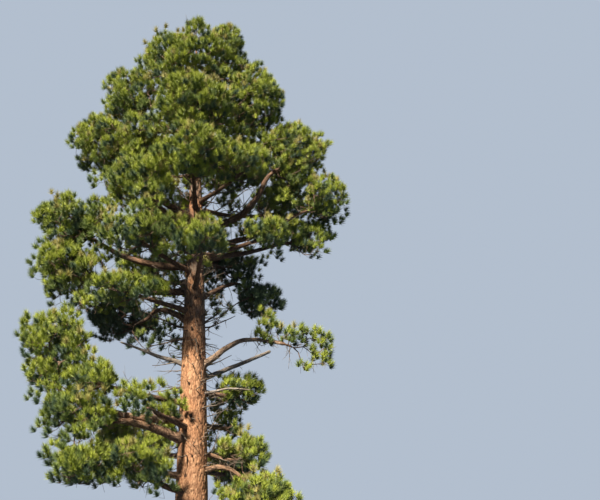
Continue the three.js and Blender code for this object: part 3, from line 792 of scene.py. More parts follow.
# %% Bridges
BRIDGES_ROUND = 7
BRIDGE_OUT = -0.15
BRIDGE_LOWEST = -0.3
BRIDGE_UPWARD, BRIDGE_FACING = 0.8, 0.1
BRIDGE_TOP = 23.6
REACH_TRIES = np.arange(0, 3, 0.05)
ARM = "foliage_arm"
NOTCHES = [
    (293, 113), (333, 168), (267, 260), (250, 427), (277, 457), (47, 295), (84, 333), (163, 348),
]
NOTCH_ROOM = 0.5


def shares_out(spot):
    """How far out a place lies in each mass: 0 in its middle, 1 on its ellipsoid."""
    return np.linalg.norm((spot - centres) / halves, axis=1)


def crease_spots(i, j):
    """Places round the crease of two masses, where it faces outward or up."""
    apart, length, wall = wall_between(i, j)
    way = apart / length
    spots = []
    if sum(1 / np.linalg.norm(way / halves[mass]) for mass in (i, j)) < length:
        return spots
    middle = centres[i] + wall * way
    outward = outward_of(middle)
    aside = unit(np.cross(way, (0.1, 0.3, 1.0)))
    third = np.cross(way, aside)
    for step in range(BRIDGES_ROUND):
        angle = 2 * math.pi * (step + shift_of(i + 41 * j)) / BRIDGES_ROUND
        out = math.cos(angle) * aside + math.sin(angle) * third
        if out[2] < BRIDGE_LOWEST or out @ outward + BRIDGE_UPWARD * out[2] < BRIDGE_FACING:
            continue
        inside = [r for r in REACH_TRIES if shares_out(middle + r * out)[i] < 1]
        if inside:
            spot = middle + (inside[-1] + BRIDGE_OUT) * out
            if np.delete(shares_out(spot), [i, j]).min() > 1 and spot[2] < BRIDGE_TOP:
                spots.append(spot)
    return spots


leafy = [mass for mass, row in enumerate(MASSES) if row[0] != ARM]
bridges = np.array([
    spot for i, j in itertools.combinations(leafy, 2) for spot in crease_spots(i, j)
])
bridges = bridges[off_sights(sight_ways(NOTCHES), bridges).min(axis=0) > NOTCH_ROOM]
print(len(bridges), "sprays bridge the creases")

# %% [markdown]
# ## Sprays in the crown's inside
# From below one looks up into the crown, and sky must not show through its middle. So sprays also
# fill the room behind the trunk, between the front masses and the back ones, rise in a spiral
# close round the trunk, and stand to either side of the long stems of the back masses. Each spray
# grows from the mass whose stem comes nearest to it.

# %% Inner sprays
BACK_FILL = 100
BACK_BOX = np.array([(-4.2, 0.8, 17.0), (2.8, 2.6, 23.2)])
BACK_MIDDLE = -0.85
BACK_NARROW, BACK_SLOPE, BACK_TIP = 0.45, 0.42, 24.2
BACK_CLEAR = 0.9
CORE_SPRAYS = 18
CORE_LOWEST = 17.3
CORE_RISE = 0.28
CORE_OUT = 0.8
STEM_BARE = 4
BESIDE_STEM, OVER_STEM = 0.4, 0.25


def back_spots():
    """Places behind the trunk that no mass fills, in a space that narrows towards the top."""
    spots = BACK_BOX[0] + even_points(BACK_FILL, 0.13) * (BACK_BOX[1] - BACK_BOX[0])
    width = BACK_NARROW + BACK_SLOPE * (BACK_TIP - spots[:, 2])
    clear = [shares_out(spot).min() > BACK_CLEAR for spot in spots]
    return spots[(np.abs(spots[:, 0] - BACK_MIDDLE) < width) & clear]


def core_spots():
    """Places close round the trunk, in a spiral up through the crown's inside."""
    height = CORE_LOWEST + CORE_RISE * np.arange(CORE_SPRAYS)
    angle = 2 * np.pi * GOLDEN * np.arange(CORE_SPRAYS)
    round_trunk = np.stack([np.cos(angle), np.sin(angle), 0 * angle], -1)
    return trunk_centre(height) + CORE_OUT * round_trunk


def stem_spots():
    """Places to either side of the stems that carry the back masses."""
    spots = []
    for (name, *_), (line, _) in zip(MASSES, stems):
        if name.startswith("foliage_back"):
            for i in range(STEM_BARE, STEM_POINTS - 1, 2):
                aside = unit(np.cross(line[i + 1] - line[i], UP)) * (-1) ** (i // 2)
                spots.append(line[i] + BESIDE_STEM * aside + OVER_STEM * UP)
    return spots


def nearest_mass(spot):
    """The mass whose stem comes nearest to a place."""
    gaps = [np.linalg.norm(line[STEM_BARE:] - spot, axis=1).min() for line, _ in stems]
    return int(np.argmin(gaps))


sprays = np.vstack([sighted(SPRAY_SIGHTS), bridges, back_spots(), core_spots(), stem_spots()])
spray_carriers = np.array([nearest_mass(spot) for spot in sprays])
print(len(sprays), "sprays between the masses")

# %% [markdown]
# ## Domes
# The needles of this pine stand in tufts at the ends of the shoots, and the shoots of one
# branchlet crowd together in a low dome that turns towards the light: bright on top, dark and open
# beneath. So each space is first dealt out to domes, evenly and more of them near its surface. The
# long bare arm carries only a few, which are placed by sight. The front mass next to the trunk
# keeps its inner side bare, because the photo shows the low trunk in the sun.

# %% Dome rule
DOME_ROOM = 0.25
DOME_DEPTH, DOME_SURFACE = 0.30, 0.97
DOME_CROWDING = 0.42
DOME_HIGH = 0.34
DOME_LEAN = 0.5
DOME_SUNK = 0.3
SUNLIT_SIDE = -1.75
ARM_SIGHTS = [
    (266, 313, -0.6), (270, 320, -0.5), (264, 325, -0.6), (274, 327, -0.5), (260, 334, -0.5),
    (266, 339, -0.6), (286, 331, -0.7), (292, 335, -0.6), (299, 329, -0.6), (289, 341, -0.6),
    (301, 341, -0.5), (308, 334, -0.5), (318, 334, -0.5), (325, 336, -0.6), (323, 346, -0.6),
    (327, 349, -0.5), (311, 350, -0.5), (325, 357, -0.5), (326, 361, -0.6), (317, 358, -0.4),
    (304, 367, -0.5),
]


def ball_directions(a, b):
    """Even directions, from two shares."""
    rise = 1 - 2 * a
    flat = np.sqrt(np.maximum(0, 1 - rise * rise))
    return np.stack([flat * np.cos(2 * np.pi * b), flat * np.sin(2 * np.pi * b), rise], -1)


def dome_centres(mass):
    """The middles of a mass's domes."""
    if MASSES[mass][0] == ARM:
        return sighted(ARM_SIGHTS)
    tries = even_points(round(BALL * halves[mass].prod() / DOME_ROOM), shift_of(mass))
    share = DOME_DEPTH + (DOME_SURFACE - DOME_DEPTH) * tries[:, 2] ** DOME_CROWDING
    inner = np.maximum(halves[mass] - NEEDLE_REACH - DOME_SUNK * DOME_HIGH, 0.2)
    spots = centres[mass] + share[:, None] * ball_directions(tries[:, 0], tries[:, 1]) * inner
    if MASSES[mass][0] == "foliage_low_left_front":
        spots = spots[spots[:, 0] < SUNLIT_SIDE]
    return spots[in_space(mass, spots, NEEDLE_REACH)]


def dome_axis(middle):
    """The way that a dome faces: up, and a little away from the trunk."""
    return unit(UP + DOME_LEAN * outward_of(middle))


dome_middles = [dome_centres(mass) for mass in range(len(MASSES))]
print(sum(map(len, dome_middles)), "domes in the masses")

# %% [markdown]
# ## The tufts of a dome
# The tufts stand evenly over the dome's upper side, at several depths, so that the dome has some
# thickness. Each points up and away from its dome's middle, as a shoot that seeks the light does.

# %% Tufts of a dome
TUFTS_PER_DOME = 24
DOME_WIDE = 0.56
DOME_ROUND = 1.25
DOME_THICK = (0.72, 0.38)
TUFT_ASIDE, TUFT_ALONG, TUFT_OUTWARD = 0.45, 0.2, 0.3


def dome_tufts(mass, middle, number):
    """The tufts of one dome: their places and the way that each points."""
    outward, axis = outward_of(middle), dome_axis(middle)
    aside = unit(np.cross(axis, (0.3, 1, 0.2)))
    third = np.cross(axis, aside)
    a, b, c = even_points(TUFTS_PER_DOME, shift_of(1000 + 97 * mass + number)).T
    rise = 1 - DOME_ROUND * a
    flat = np.sqrt(1 - rise * rise)
    lateral = flat[:, None] * (
        np.cos(2 * np.pi * b)[:, None] * aside + np.sin(2 * np.pi * b)[:, None] * third
    )
    shape = DOME_WIDE * lateral + DOME_HIGH * rise[:, None] * axis
    places = middle + (DOME_THICK[0] + DOME_THICK[1] * c)[:, None] * shape
    ways = unit(
        UP + TUFT_ASIDE * lateral + TUFT_ALONG * rise[:, None] * axis + TUFT_OUTWARD * outward
    )
    return places, ways


_, first_ways = dome_tufts(0, dome_middles[0][0], 0)
print("the first tuft of the first dome points", first_ways[0].round(2))

# %% [markdown]
# ## Sky between the masses
# The photo shows sky through the crown in many small places. Each is a line of sight with a
# radius, and tufts that stand within it are left out, at whatever depth.

# %% Clearings
CLEARINGS = [
    # pixels across and down the photo, radius in the tree
    (148, 34, 0.28), (160, 25, 0.2), (129, 64, 0.3), (113, 68, 0.15), (98, 88, 0.2),
    (95, 105, 0.25), (75, 152, 0.2), (103, 192, 0.25), (60, 187, 0.2), (282, 82, 0.25),
    (291, 118, 0.25), (268, 272, 0.3), (287, 296, 0.25), (330, 245, 0.25), (88, 326, 0.25),
    (104, 352, 0.25), (168, 349, 0.2), (245, 369, 0.25), (250, 415, 0.3), (253, 432, 0.2),
    (210, 420, 0.15), (50, 467, 0.12), (60, 440, 0.1), (88, 492, 0.2), (147, 306, 0.3),
    (97, 268, 0.2), (110, 267, 0.15), (147, 254, 0.22), (213, 191, 0.15), (244, 196, 0.3),
    (253, 189, 0.2), (228, 239, 0.15), (228, 298, 0.2),
]
clearing_ways = sight_ways(CLEARINGS)
clearing_sizes = np.array([size for _, _, size in CLEARINGS])


def covers_sky(places):
    """Which places would hide a spot where the photo shows sky."""
    return (off_sights(clearing_ways, places) < clearing_sizes[:, None]).any(axis=0)


print(len(CLEARINGS), "clearings, the widest", 2 * clearing_sizes.max(), "m across")

# %% [markdown]
# ## Dealing out the tufts
# A dome near its mass's surface is drawn in, tuft by tuft, until it fits, and every dome keeps a
# distance of its own from the surface, which makes the outline ragged. The highest tuft of every
# third dome is a leader that reaches past the rest. No two tufts of a mass stand too close. A dome
# also gets a painted shade, which later darkens its needles: the photo is darkest in the masses
# behind the trunk, under the long shelf of foliage on the left, and inside the crown, and sprays in
# the creases between masses get painted shade too.

# %% Tufts
# A dome's shade is the painted shade that later darkens its needles.
Dome = namedtuple("Dome", "mass middle places ways shade")
TUFT_SPACING = 0.14
DRAWN_IN = (1.0, 0.8, 0.6, 0.4)
RETREAT = (-0.1, 0.2)
LEADER_EVERY = 3
LEADER_REACH, LEADER_LIFT = 0.26, 0.7
BOX_LOW = np.array(cad_low) + NEEDLE_REACH - 0.1
BOX_HIGH = np.array(cad_high) - NEEDLE_REACH + 0.08
ARM_SHARE, ARM_SPACING = 0.5, 0.15
SPRAY_SHARE, SPRAY_SPACING = 0.85, 0.19
PAINTED_SHADES = {"dark": 0.8, "shelf": 0.16, "low_left": 0.14}
SPRAY_PAINTED_SHADE = 0.28
BEHIND_TRUNK = 1.0
UNDER_SHELF = (10.5, 14.6)


def drawn_in(mass, middle, full, number):
    """A dome's tufts, each drawn in as far as it has to be, and which of them fit the space."""
    places, fits = full.copy(), np.zeros(len(full), bool)
    ragged = RETREAT[0] + (RETREAT[1] - RETREAT[0]) * (number * EVEN**-1 % 1)
    for share in DRAWN_IN:
        drawn = middle + share * (full - middle)
        now = in_space(mass, drawn, NEEDLE_REACH + ragged) & ~fits
        places[now] = drawn[now]
        fits |= now
    if number % LEADER_EVERY == 0 and fits.any():
        leader = np.flatnonzero(fits)[np.argmax(places[fits, 2])]
        rise = unit(unit(places[leader] - centres[mass]) + LEADER_LIFT * UP)
        places[leader] = np.clip(places[leader] + LEADER_REACH * rise, BOX_LOW, BOX_HIGH)
    return places, fits


def full_domes(mass):
    """A mass's domes and sprays before they are thinned: what fits, the spacing and the painted
    shade.
    """
    name, middles = MASSES[mass][0], dome_middles[mass]
    # Painted shade: the needles of masses named dark, shelf or low_left get darker tints.
    shade = max([0, *(more for word, more in PAINTED_SHADES.items() if word in name)])
    for number, middle in enumerate(middles):
        full, ways = dome_tufts(mass, middle, number)
        if name == ARM:
            places = middle + ARM_SHARE * (full - middle)
            yield middle, places, ways, np.ones(len(full), bool), ARM_SPACING, 0
        else:
            places, fits = drawn_in(mass, middle, full, number)
            yield middle, places, ways, fits, TUFT_SPACING, shade
    for spray in np.flatnonzero(spray_carriers == mass):
        middle = sprays[spray]
        full, ways = dome_tufts(mass, middle, len(middles) + spray)
        places = middle + SPRAY_SHARE * (full - middle)
        # Painted shade: sprays behind the trunk under the shelf get the darkest, other sprays a
        # lighter one for the creases.
        behind = middle[1] > BEHIND_TRUNK and UNDER_SHELF[0] < middle[2] < UNDER_SHELF[1]
        shade = PAINTED_SHADES["dark"] if behind else SPRAY_PAINTED_SHADE
        yield middle, places, ways, off_trunk(places), SPRAY_SPACING, shade


def domes_with_tufts(mass):
    """A mass's domes, with the tufts that hide no sky and stand clear of the earlier ones."""
    domes, taken = [], np.zeros((0, 3))
    for middle, places, ways, fits, spacing, shade in full_domes(mass):
        kept = []
        for i in np.flatnonzero(fits & ~covers_sky(places)):
            if len(taken) == 0 or np.linalg.norm(taken - places[i], axis=1).min() > spacing:
                taken = np.vstack([taken, places[i]])
                kept.append(i)
        if kept:
            domes.append(Dome(mass, middle, places[kept], ways[kept], shade))
    return domes


domes_of = [domes_with_tufts(mass) for mass in range(len(MASSES))]
all_domes = [dome for domes in domes_of for dome in domes]
tuft_count = sum(len(dome.places) for dome in all_domes)
print(len(all_domes), "domes and sprays with", tuft_count, "tufts")

# %% [markdown]
# ## Branches that reach them
# A branch is found for each dome and then for each tuft: it leaves the wood that is already there
# at the point from which the way is shortest, counting part of the way back to the stem, so twigs
# fork off as late as real ones do. Every branch starts in the direction of the wood that it leaves
# and turns up towards the end. A branch is as thick as what it feeds needs: the cross-sections of
# two twigs add up to that of the limb that carries both.

# %% Growing the wood
WAY_BACK = 0.35
BRANCH_STEP = 0.32
BRANCH_LEAD, SHOOT_LEAD = 0.4, 0.45
SHOOT_RADIUS = 0.0045
PIPE_POWER = 2.25
FORK_FLARE = 1.35
DOME_STALK = 0.26
STRAIGHT_TWIG = 0.3


class Wood:
    """A growing skeleton: points, the point that each grows from, and the way back to the stem."""

    def __init__(self, line):
        self.points = [*line]
        self.parents = [-1, *range(len(line) - 1)]
        self.back = [*along_line(line)]

    def fork(self, goal, first):
        """The index of the point to leave from, not before the first that may fork."""
        reach = np.linalg.norm(np.array(self.points[first:]) - goal, axis=1)
        return first + int(np.argmin(reach + WAY_BACK * np.array(self.back[first:])))

    def grow(self, origin, control, goal, pieces):
        """A bent branch in so many pieces. Returns the index of its end."""
        path = bent_curve(self.points[origin], control, goal, pieces + 1)
        for point in path[1:]:
            step = float(np.linalg.norm(point - self.points[origin]))
            self.back.append(self.back[origin] + step)
            self.points.append(point)
            self.parents.append(origin)
            origin = len(self.points) - 1
        return origin


def wood_of(mass):
    """The mass's skeleton, and the indices of its tufts' points."""
    line, _ = stems[mass]
    wood, ends = Wood(line), []
    for dome in sorted(domes_of[mass], key=lambda dome: np.linalg.norm(dome.middle - line[-1])):
        foot = dome.middle - DOME_STALK * dome_axis(dome.middle)
        origin = wood.fork(foot, STEM_POINTS // 2)
        gap = np.linalg.norm(foot - wood.points[origin])
        onward = unit(wood.points[origin] - wood.points[wood.parents[origin]])
        control = wood.points[origin] + BRANCH_LEAD * gap * onward
        wood.grow(origin, control, foot, max(2, round(gap / BRANCH_STEP)))
        first = len(wood.points) - 2
        for i in np.argsort(np.linalg.norm(dome.places - foot, axis=1)):
            place, way = dome.places[i], dome.ways[i]
            origin = wood.fork(place, first)
            gap = np.linalg.norm(place - wood.points[origin])
            pieces = 2 if gap > STRAIGHT_TWIG else 1
            ends.append(wood.grow(origin, place - SHOOT_LEAD * gap * way, place, pieces))
    return wood, ends


def thickness(wood, ends, radii):
    """The radius at each point, from its end twigs back to the stem."""
    area = np.zeros(len(wood.points))
    area[ends] = SHOOT_RADIUS**PIPE_POWER
    for i in range(len(wood.points) - 1, 0, -1):
        area[wood.parents[i]] += area[i]
    radius = np.maximum(area, SHOOT_RADIUS**PIPE_POWER) ** (1 / PIPE_POWER)
    radius[: len(radii)] = np.maximum(radius[: len(radii)], radii)
    return radius


edges = []
for mass, (_, radii) in enumerate(stems):
    wood, ends = wood_of(mass)
    radius = thickness(wood, ends, radii)
    points, child = np.array(wood.points), np.arange(STEM_POINTS, len(wood.points))
    parent = np.array(wood.parents)[child]
    start_radius = np.minimum(radius[parent], FORK_FLARE * radius[child])
    edges.append(
        (points[parent], points[child], start_radius, radius[child], np.isin(child, ends))
    )
    if MASSES[mass][0] == ARM:
        arm_wood = points[STEM_POINTS:]
edge_starts, edge_ends, start_radii, end_radii, last_edges = (
    np.concatenate(column) for column in zip(*edges)
)
print(len(edge_starts), "lengths of branch, the thickest", round(float(end_radii.max()), 3), "m")

# %% [markdown]
# ## Many small things as one mesh
# Tens of thousands of twigs and hundreds of thousands of needles can't each be an object. All of
# one kind become one mesh, made straight from arrays of corners and triangles. A length of branch
# or twig is a closed prism, the last length of a shoot is a closed spike of four faces, and a
# needle, of which there are the most, is one slim pointed face.

# %% Joined prisms
SPIKE_FACES = np.array([[0, 2, 1], [0, 1, 3], [1, 2, 3], [2, 0, 3]])
NEEDLE_TURN = 2.4


def cross_frames(ways):
    """Two directions square to each of these and to each other."""
    ref = np.where(np.abs(ways[:, 2:]) > 0.9, [[1.0, 0, 0]], [[0, 0, 1.0]])
    side = unit(np.cross(ref, ways))
    return side, np.cross(ways, side)


def ring_corners(middles, ways, wide, sides):
    """A ring of corners round each middle, square to its way."""
    side, over = cross_frames(ways)
    angle = 2 * np.pi * np.arange(sides) / sides
    spokes = side[:, None] * np.cos(angle)[:, None] + over[:, None] * np.sin(angle)[:, None]
    return middles[:, None] + wide[:, None, None] * spokes


def repeated(faces, corners, count):
    """The faces of one small thing, again for each of its copies, with so many corners each."""
    return (faces[None] + (corners * np.arange(count))[:, None, None]).reshape(-1, 3)


def prisms(starts, ends, wide, narrow, sides):
    """Closed prisms from starts to ends."""
    ways = unit(ends - starts)
    lower = ring_corners(starts, ways, wide, sides)
    upper = ring_corners(ends, ways, narrow, sides)
    k = np.arange(sides)
    n = (k + 1) % sides
    fan = np.arange(1, sides - 1)
    faces = np.concatenate([
        np.stack([k, n, n + sides], -1),
        np.stack([k, n + sides, k + sides], -1),
        np.stack([0 * fan, fan + 1, fan], -1),
        np.stack([0 * fan, fan, fan + 1], -1) + sides,
    ])
    corners = np.concatenate([lower, upper], axis=1).reshape(-1, 3)
    return corners, repeated(faces, 2 * sides, len(starts))


def spikes(starts, tips, wide):
    """Closed spikes of four faces, from a small triangle to a point."""
    ring = ring_corners(starts, unit(tips - starts), wide, 3)
    corners = np.concatenate([ring, tips[:, None]], axis=1).reshape(-1, 3)
    return corners, repeated(SPIKE_FACES, 4, len(starts))


def slim_needles(roots, tips, half_width):
    """Slim pointed faces, each turned its own way about its length."""
    side, over = cross_frames(unit(tips - roots))
    turned = (NEEDLE_TURN * np.arange(len(roots)))[:, None]
    across = half_width * (np.cos(turned) * side + np.sin(turned) * over)
    corners = np.stack([roots + across, roots - across, tips], axis=1)
    return corners.reshape(-1, 3), np.arange(3 * len(roots)).reshape(-1, 3)


def joined_piece(name, parts, slot, nodes=(), smooth=False):
    """One object from several lots of corners and triangles, in the place of these nodes."""
    shift, corners, faces = 0, [], []
    for some_corners, some_faces in parts:
        corners.append(some_corners)
        faces.append(some_faces + shift)
        shift += len(some_corners)
    mesh = bpy.data.meshes.new(name)
    mesh.from_pydata(np.vstack(corners), [], np.vstack(faces))
    if smooth:
        mesh.shade_smooth()
    else:
        mesh.shade_flat()
    piece = bpy.data.objects.new(name, mesh)
    bpy.context.scene.collection.objects.link(piece)
    hand_over(piece, slot, *nodes)
    print(name, "has", len(mesh.polygons), "faces")
    return piece


foliage_nodes = [row[0] for row in MASSES]
print("branches, twigs and needles take the place of", len(foliage_nodes), "masses")

# %% [markdown]
# ## Branches and twigs
# A length that is 22 mm through or more counts as a branch: it has six sides and smooth shading.
# Thinner ones are twigs with three sides, and the last length of a shoot is a spike. From where
# the viewer stands nobody could count the sides of a twig, so more of them would only cost faces.

# %% Branches and twigs
BRANCH_RADIUS = 0.011
BRANCH_SIDES = 6
TWIG_SIDES = 3


def chosen_prisms(chosen, sides):
    """Prisms for some of the lengths of wood."""
    return prisms(
        edge_starts[chosen], edge_ends[chosen], start_radii[chosen], end_radii[chosen], sides
    )


stout = end_radii >= BRANCH_RADIUS
branches = joined_piece(
    "branches", [chosen_prisms(stout, BRANCH_SIDES)], "limb_bark", foliage_nodes, smooth=True
)
shoots = ~stout & last_edges
shoot_spikes = spikes(edge_starts[shoots], edge_ends[shoots], start_radii[shoots])
twigs = joined_piece(
    "twigs", [chosen_prisms(~stout & ~last_edges, TWIG_SIDES), shoot_spikes], "limb_bark",
    foliage_nodes,
)

# %% [markdown]
# ## Dead twigs
# Below the live crown an old pine keeps dead twigs for years: crooked, forked once or twice,
# bleached and brittle. Each is a line that strays more and more from its first direction, and
# loses thickness towards its end. A fork is a shorter, thinner twig of the same kind.

# %% Dead twig rule
CROOK = 0.5
TWIG_END = 0.35
SIDE_LENGTH, SIDE_RADIUS = 0.45, 0.6
SIDE_PARTS = 3
SIDE_SWERVE = 2


def crooked_line(start, way, length, parts, seed):
    """A line that strays more and more from its first direction."""
    points, way = [start], unit(way)
    for part in range(parts):
        stray = np.array(noise.noise_vector(Vector((1.7 * part, seed, 3.1))))
        way = unit(way + CROOK * stray)
        points.append(points[-1] + way * length / parts)
    return np.array(points)


def dead_twig(start, way, length, radius, seed, forks, parts):
    """The lengths of a twig and its own side twigs, as starts, ends and radii."""
    line = crooked_line(start, way, length, parts, seed)
    taper = radius * np.linspace(1, TWIG_END, len(line))
    lengths = [(line[i], line[i + 1], taper[i], taper[i + 1]) for i in range(parts)]
    for fork in range(forks):
        i = 1 + (fork * 2 + int(seed * 10)) % (parts - 1)
        aside = np.array(noise.noise_vector(Vector((seed, 5.3 * fork, 9.7)))) * SIDE_SWERVE
        onward = unit(unit(line[i] - line[i - 1]) + aside)
        lengths += dead_twig(
            line[i], onward, SIDE_LENGTH * length, SIDE_RADIUS * taper[i], seed + 1.9 + fork, 0,
            SIDE_PARTS,
        )
    return lengths


print("a dead twig with two forks has", len(dead_twig(UP, UP, 1, 0.02, 0.5, 2, 5)), "lengths")

# %% [markdown]
# ## Dead twigs on the trunk
# The stouter twigs and thin dead boughs stand where the photo shows them: to both sides of the
# bare trunk, hanging in front of it, and rising steeply into the crown. Finer ones follow an even
# sequence up and round the trunk, and every second knot still holds its stub.

# %% Twigs on the trunk
SHOWN_TWIGS = [
    # height, way out of the trunk, length, radius
    (11.05, (1.0, -0.1, -0.12), 1.3, 0.034),
    (11.2, (0.9, -0.2, 0.75), 0.85, 0.045),
    (10.8, (0.85, -0.35, 0.75), 1.35, 0.02),
    (10.55, (0.9, 0.4, 0.1), 0.7, 0.018),
    (10.15, (0.8, -0.3, -0.35), 0.75, 0.018),
    (9.75, (0.8, 0.4, -0.45), 0.8, 0.02),
    (10.6, (-1.0, -0.2, 0.08), 1.25, 0.036),
    (10.35, (-0.8, -0.4, 0.3), 0.8, 0.02),
    (10.0, (-0.9, 0.3, -0.3), 0.9, 0.02),
    (9.45, (-0.9, -0.3, -0.35), 0.9, 0.02),
    (8.9, (-1.0, -0.1, 0.06), 1.15, 0.03),
    (8.75, (-0.8, -0.5, -0.35), 0.6, 0.018),
    (11.75, (-0.8, -0.45, 0.5), 1.1, 0.028),
    (12.3, (-0.75, -0.6, 0.2), 1.2, 0.024),
    (12.55, (0.7, -0.6, 0.35), 1.2, 0.024),
    (13.1, (0.35, -0.9, 0.3), 1.0, 0.03),
    (13.0, (-0.45, -0.85, 0.15), 1.1, 0.028),
    (12.1, (0.3, -0.9, -0.2), 0.8, 0.02),
    (7.85, (1.0, -0.35, 0.35), 0.95, 0.02),
    (7.1, (0.6, -0.8, 0.2), 0.5, 0.022),
    (6.55, (0.8, -0.55, 0.45), 0.6, 0.024),
    (6.2, (0.7, -0.7, -0.3), 0.55, 0.016),
    (14.2, (-0.8, -0.5, -1.4), 1.3, 0.022),
    (13.4, (-0.65, -0.7, -1.9), 1.4, 0.02),
    (12.9, (0.5, -0.8, -1.6), 1.2, 0.018),
    (12.2, (-0.8, -0.5, -1.3), 1.2, 0.02),
    (11.6, (0.2, -1.0, -1.8), 1.0, 0.018),
    (10.6, (0.15, -1.0, -1.6), 1.0, 0.028),
    (13.9, (0.7, -0.6, -1.1), 1.1, 0.02),
    (12.6, (-0.2, -1.0, -0.9), 0.8, 0.022),
    (11.9, (-0.6, -0.8, -0.6), 0.7, 0.024),
    (11.3, (0.5, -0.8, 0.5), 0.6, 0.03),
    (15.2, (1.0, -0.2, 0.9), 2.4, 0.034),
    (15.6, (0.9, -0.1, 1.2), 2.2, 0.03),
    (14.9, (1.0, -0.3, 0.5), 2.6, 0.034),
    (16.2, (1.0, 0.0, 0.7), 2.0, 0.028),
    (15.3, (-1.0, -0.4, 1.0), 2.2, 0.034),
    (15.0, (-1.0, -0.5, 0.6), 2.4, 0.034),
    (16.0, (-0.9, -0.3, 1.1), 2.0, 0.028),
    (16.9, (0.8, -0.5, 1.2), 1.6, 0.025),
    (16.6, (-0.8, -0.4, 1.2), 1.6, 0.025),
    (11.0, (-1.0, -0.17, 0.05), 1.7, 0.045),
]
SHOWN_PARTS, SHOWN_FORKS = 7, 3
TRUNK_TWIGS = 120
TWIG_HEIGHTS = (6.0, 16.5)
TWIG_LENGTHS = (0.25, 1.15)
TWIG_RADII = (0.01, 0.016)
TWIG_SUNK, STUB_SUNK = 0.8, 0.85
STUB_LENGTHS = (0.12, 5)


def under_bark(height, way):
    """A place just inside the trunk at this height, on the side that the direction points to."""
    return trunk_centre(height) + TWIG_SUNK * float(trunk_radius(height)) * unit(way * LEVEL)


dead_lengths = []
for number, (height, way, length, radius) in enumerate(SHOWN_TWIGS):
    start = under_bark(height, way)
    dead_lengths += dead_twig(start, way, length, radius, 0.83 * number, SHOWN_FORKS, SHOWN_PARTS)
for number, (a, b, c) in enumerate(even_points(TRUNK_TWIGS, 0.71)):
    height = TWIG_HEIGHTS[0] + (TWIG_HEIGHTS[1] - TWIG_HEIGHTS[0]) * a
    way = np.array([math.cos(2 * math.pi * b), math.sin(2 * math.pi * b), 0.7 * c - 0.3])
    length = TWIG_LENGTHS[0] + (TWIG_LENGTHS[1] - TWIG_LENGTHS[0]) * (c * 3.7 % 1)
    radius = TWIG_RADII[0] + TWIG_RADII[1] * length
    dead_lengths += dead_twig(under_bark(height, way), way, length, radius, 40 + number, 2, 5)
for number, (x, y, height, size) in enumerate(trunk_knots[::2]):
    start = trunk_centre(height) + np.array([STUB_SUNK * x, STUB_SUNK * y, 0])
    way = unit((x, y, 0)) + (0, 0, 8 * size - 0.5)
    length = STUB_LENGTHS[0] + STUB_LENGTHS[1] * (0.09 - size)
    dead_lengths += dead_twig(start, way, length, 0.5 * size, 150 + number, 0, 3)
print(len(dead_lengths), "lengths of dead twig on the trunk")

# %% [markdown]
# ## Dead twigs on the limbs
# Boughs, the long arm and the masses' stems are set with dead twigs too, which leave them
# sideways. On the arm and on the dead limbs they are shorter and further apart. Round the arm's
# few tufts fine twigs also hang down from the live ones.

# %% Twigs on the limbs
BARE_TWIGS = (range(9, 38, 5), 0.34)
LEAFY_TWIGS = (range(9, 38, 3), 0.62)
ARM_TWIGS = (range(14, 39, 4), 0.42)
STEM_TWIGS = ((4, 6, 8, 10), 0.7)
ARM_TWIG_SEEDS = (31.3, 37.9)
ARM_TWIG_ROOT = 0.05
FINE_RADII = (0.006, 0.009)
FINE_ONWARD, FINE_SUNK = 0.5, 0.6
HANGING_EVERY = 3
HANGING_WAY, HANGING_SWERVE = (0.4, 0, -0.5), 1.6
HANGING_LENGTH, HANGING_RADIUS = 0.3, 0.008


def twigs_along(line, radii, spots, length, seed):
    """Fine dead twigs that leave a limb sideways at these points of its line."""
    lengths = []
    for number, i in enumerate(spots):
        aside = unit(np.array(noise.noise_vector(Vector((1.3 * i, seed, 0.7)))))
        way = unit(FINE_ONWARD * unit(line[i + 1] - line[i]) + aside)
        long = length * (0.6 + 0.8 * ((number + 1) * EVEN**-1 + seed) % 1)
        start = line[i] + FINE_SUNK * radii[i] * aside
        radius = FINE_RADII[0] + FINE_RADII[1] * long
        lengths += dead_twig(start, way, long, radius, seed + 0.37 * i, 2, 4)
    return lengths


for number, (name, (line, wide, narrow)) in enumerate(limb_lines.items()):
    spots, length = BARE_TWIGS if name.startswith(("dead", "arm")) else LEAFY_TWIGS
    radii = np.linspace(wide, narrow, len(line))
    dead_lengths += twigs_along(line, radii, spots, length, 60.3 + number)
arm_radii = np.full(len(arm_line), ARM_TWIG_ROOT)
for seed in ARM_TWIG_SEEDS:
    dead_lengths += twigs_along(arm_line, arm_radii, *ARM_TWIGS, seed)
for number, spot in enumerate(arm_wood[::HANGING_EVERY]):
    swerve = np.array(noise.noise_vector(Vector((0.7 * number, 5.1, 2.9))))
    droop = HANGING_WAY + HANGING_SWERVE * swerve
    dead_lengths += dead_twig(spot, droop, HANGING_LENGTH, HANGING_RADIUS, 200.3 + number, 1, 3)
for number, (line, radii) in enumerate(stems):
    dead_lengths += twigs_along(line, radii, *STEM_TWIGS, 90.7 + number)
dead_prisms = prisms(*(np.array(column) for column in zip(*dead_lengths)), 4)
dead_twigs = joined_piece("dead_twigs", [dead_prisms], "dead_wood", smooth=True)

# %% [markdown]
# ## The stems' bark
# Stems are clad like the boughs, with fewer corners, since the needles hide most of a stem. They
# replace no solid by themselves: a stem is part of its mass's solid, which gives way to the
# branches, twigs and needles.

# %% Stem pieces
STEM_AROUND = 16
STEM_RING = 0.07

stem_barks = []
for (mass_name, _, _, carrier), (line, radii) in zip(MASSES, stems):
    from_trunk = not isinstance(carrier, str)
    if from_trunk:
        line = outside_trunk(line)
    length = float(along_line(line)[-1])
    outline = limb_outline(radii[0], radii[-1], COLLAR * from_trunk, length, True)
    rings = max(8, round(length / STEM_RING))
    name = mass_name.replace("foliage", "stem")
    piece = bark_limb(name, line, outline, (STEM_AROUND, rings), LIMB_PLATES)
    hand_over(piece, "limb_bark")
    stem_barks.append(piece)
print("stem bark:", sum(len(piece.data.polygons) for piece in stem_barks), "faces")
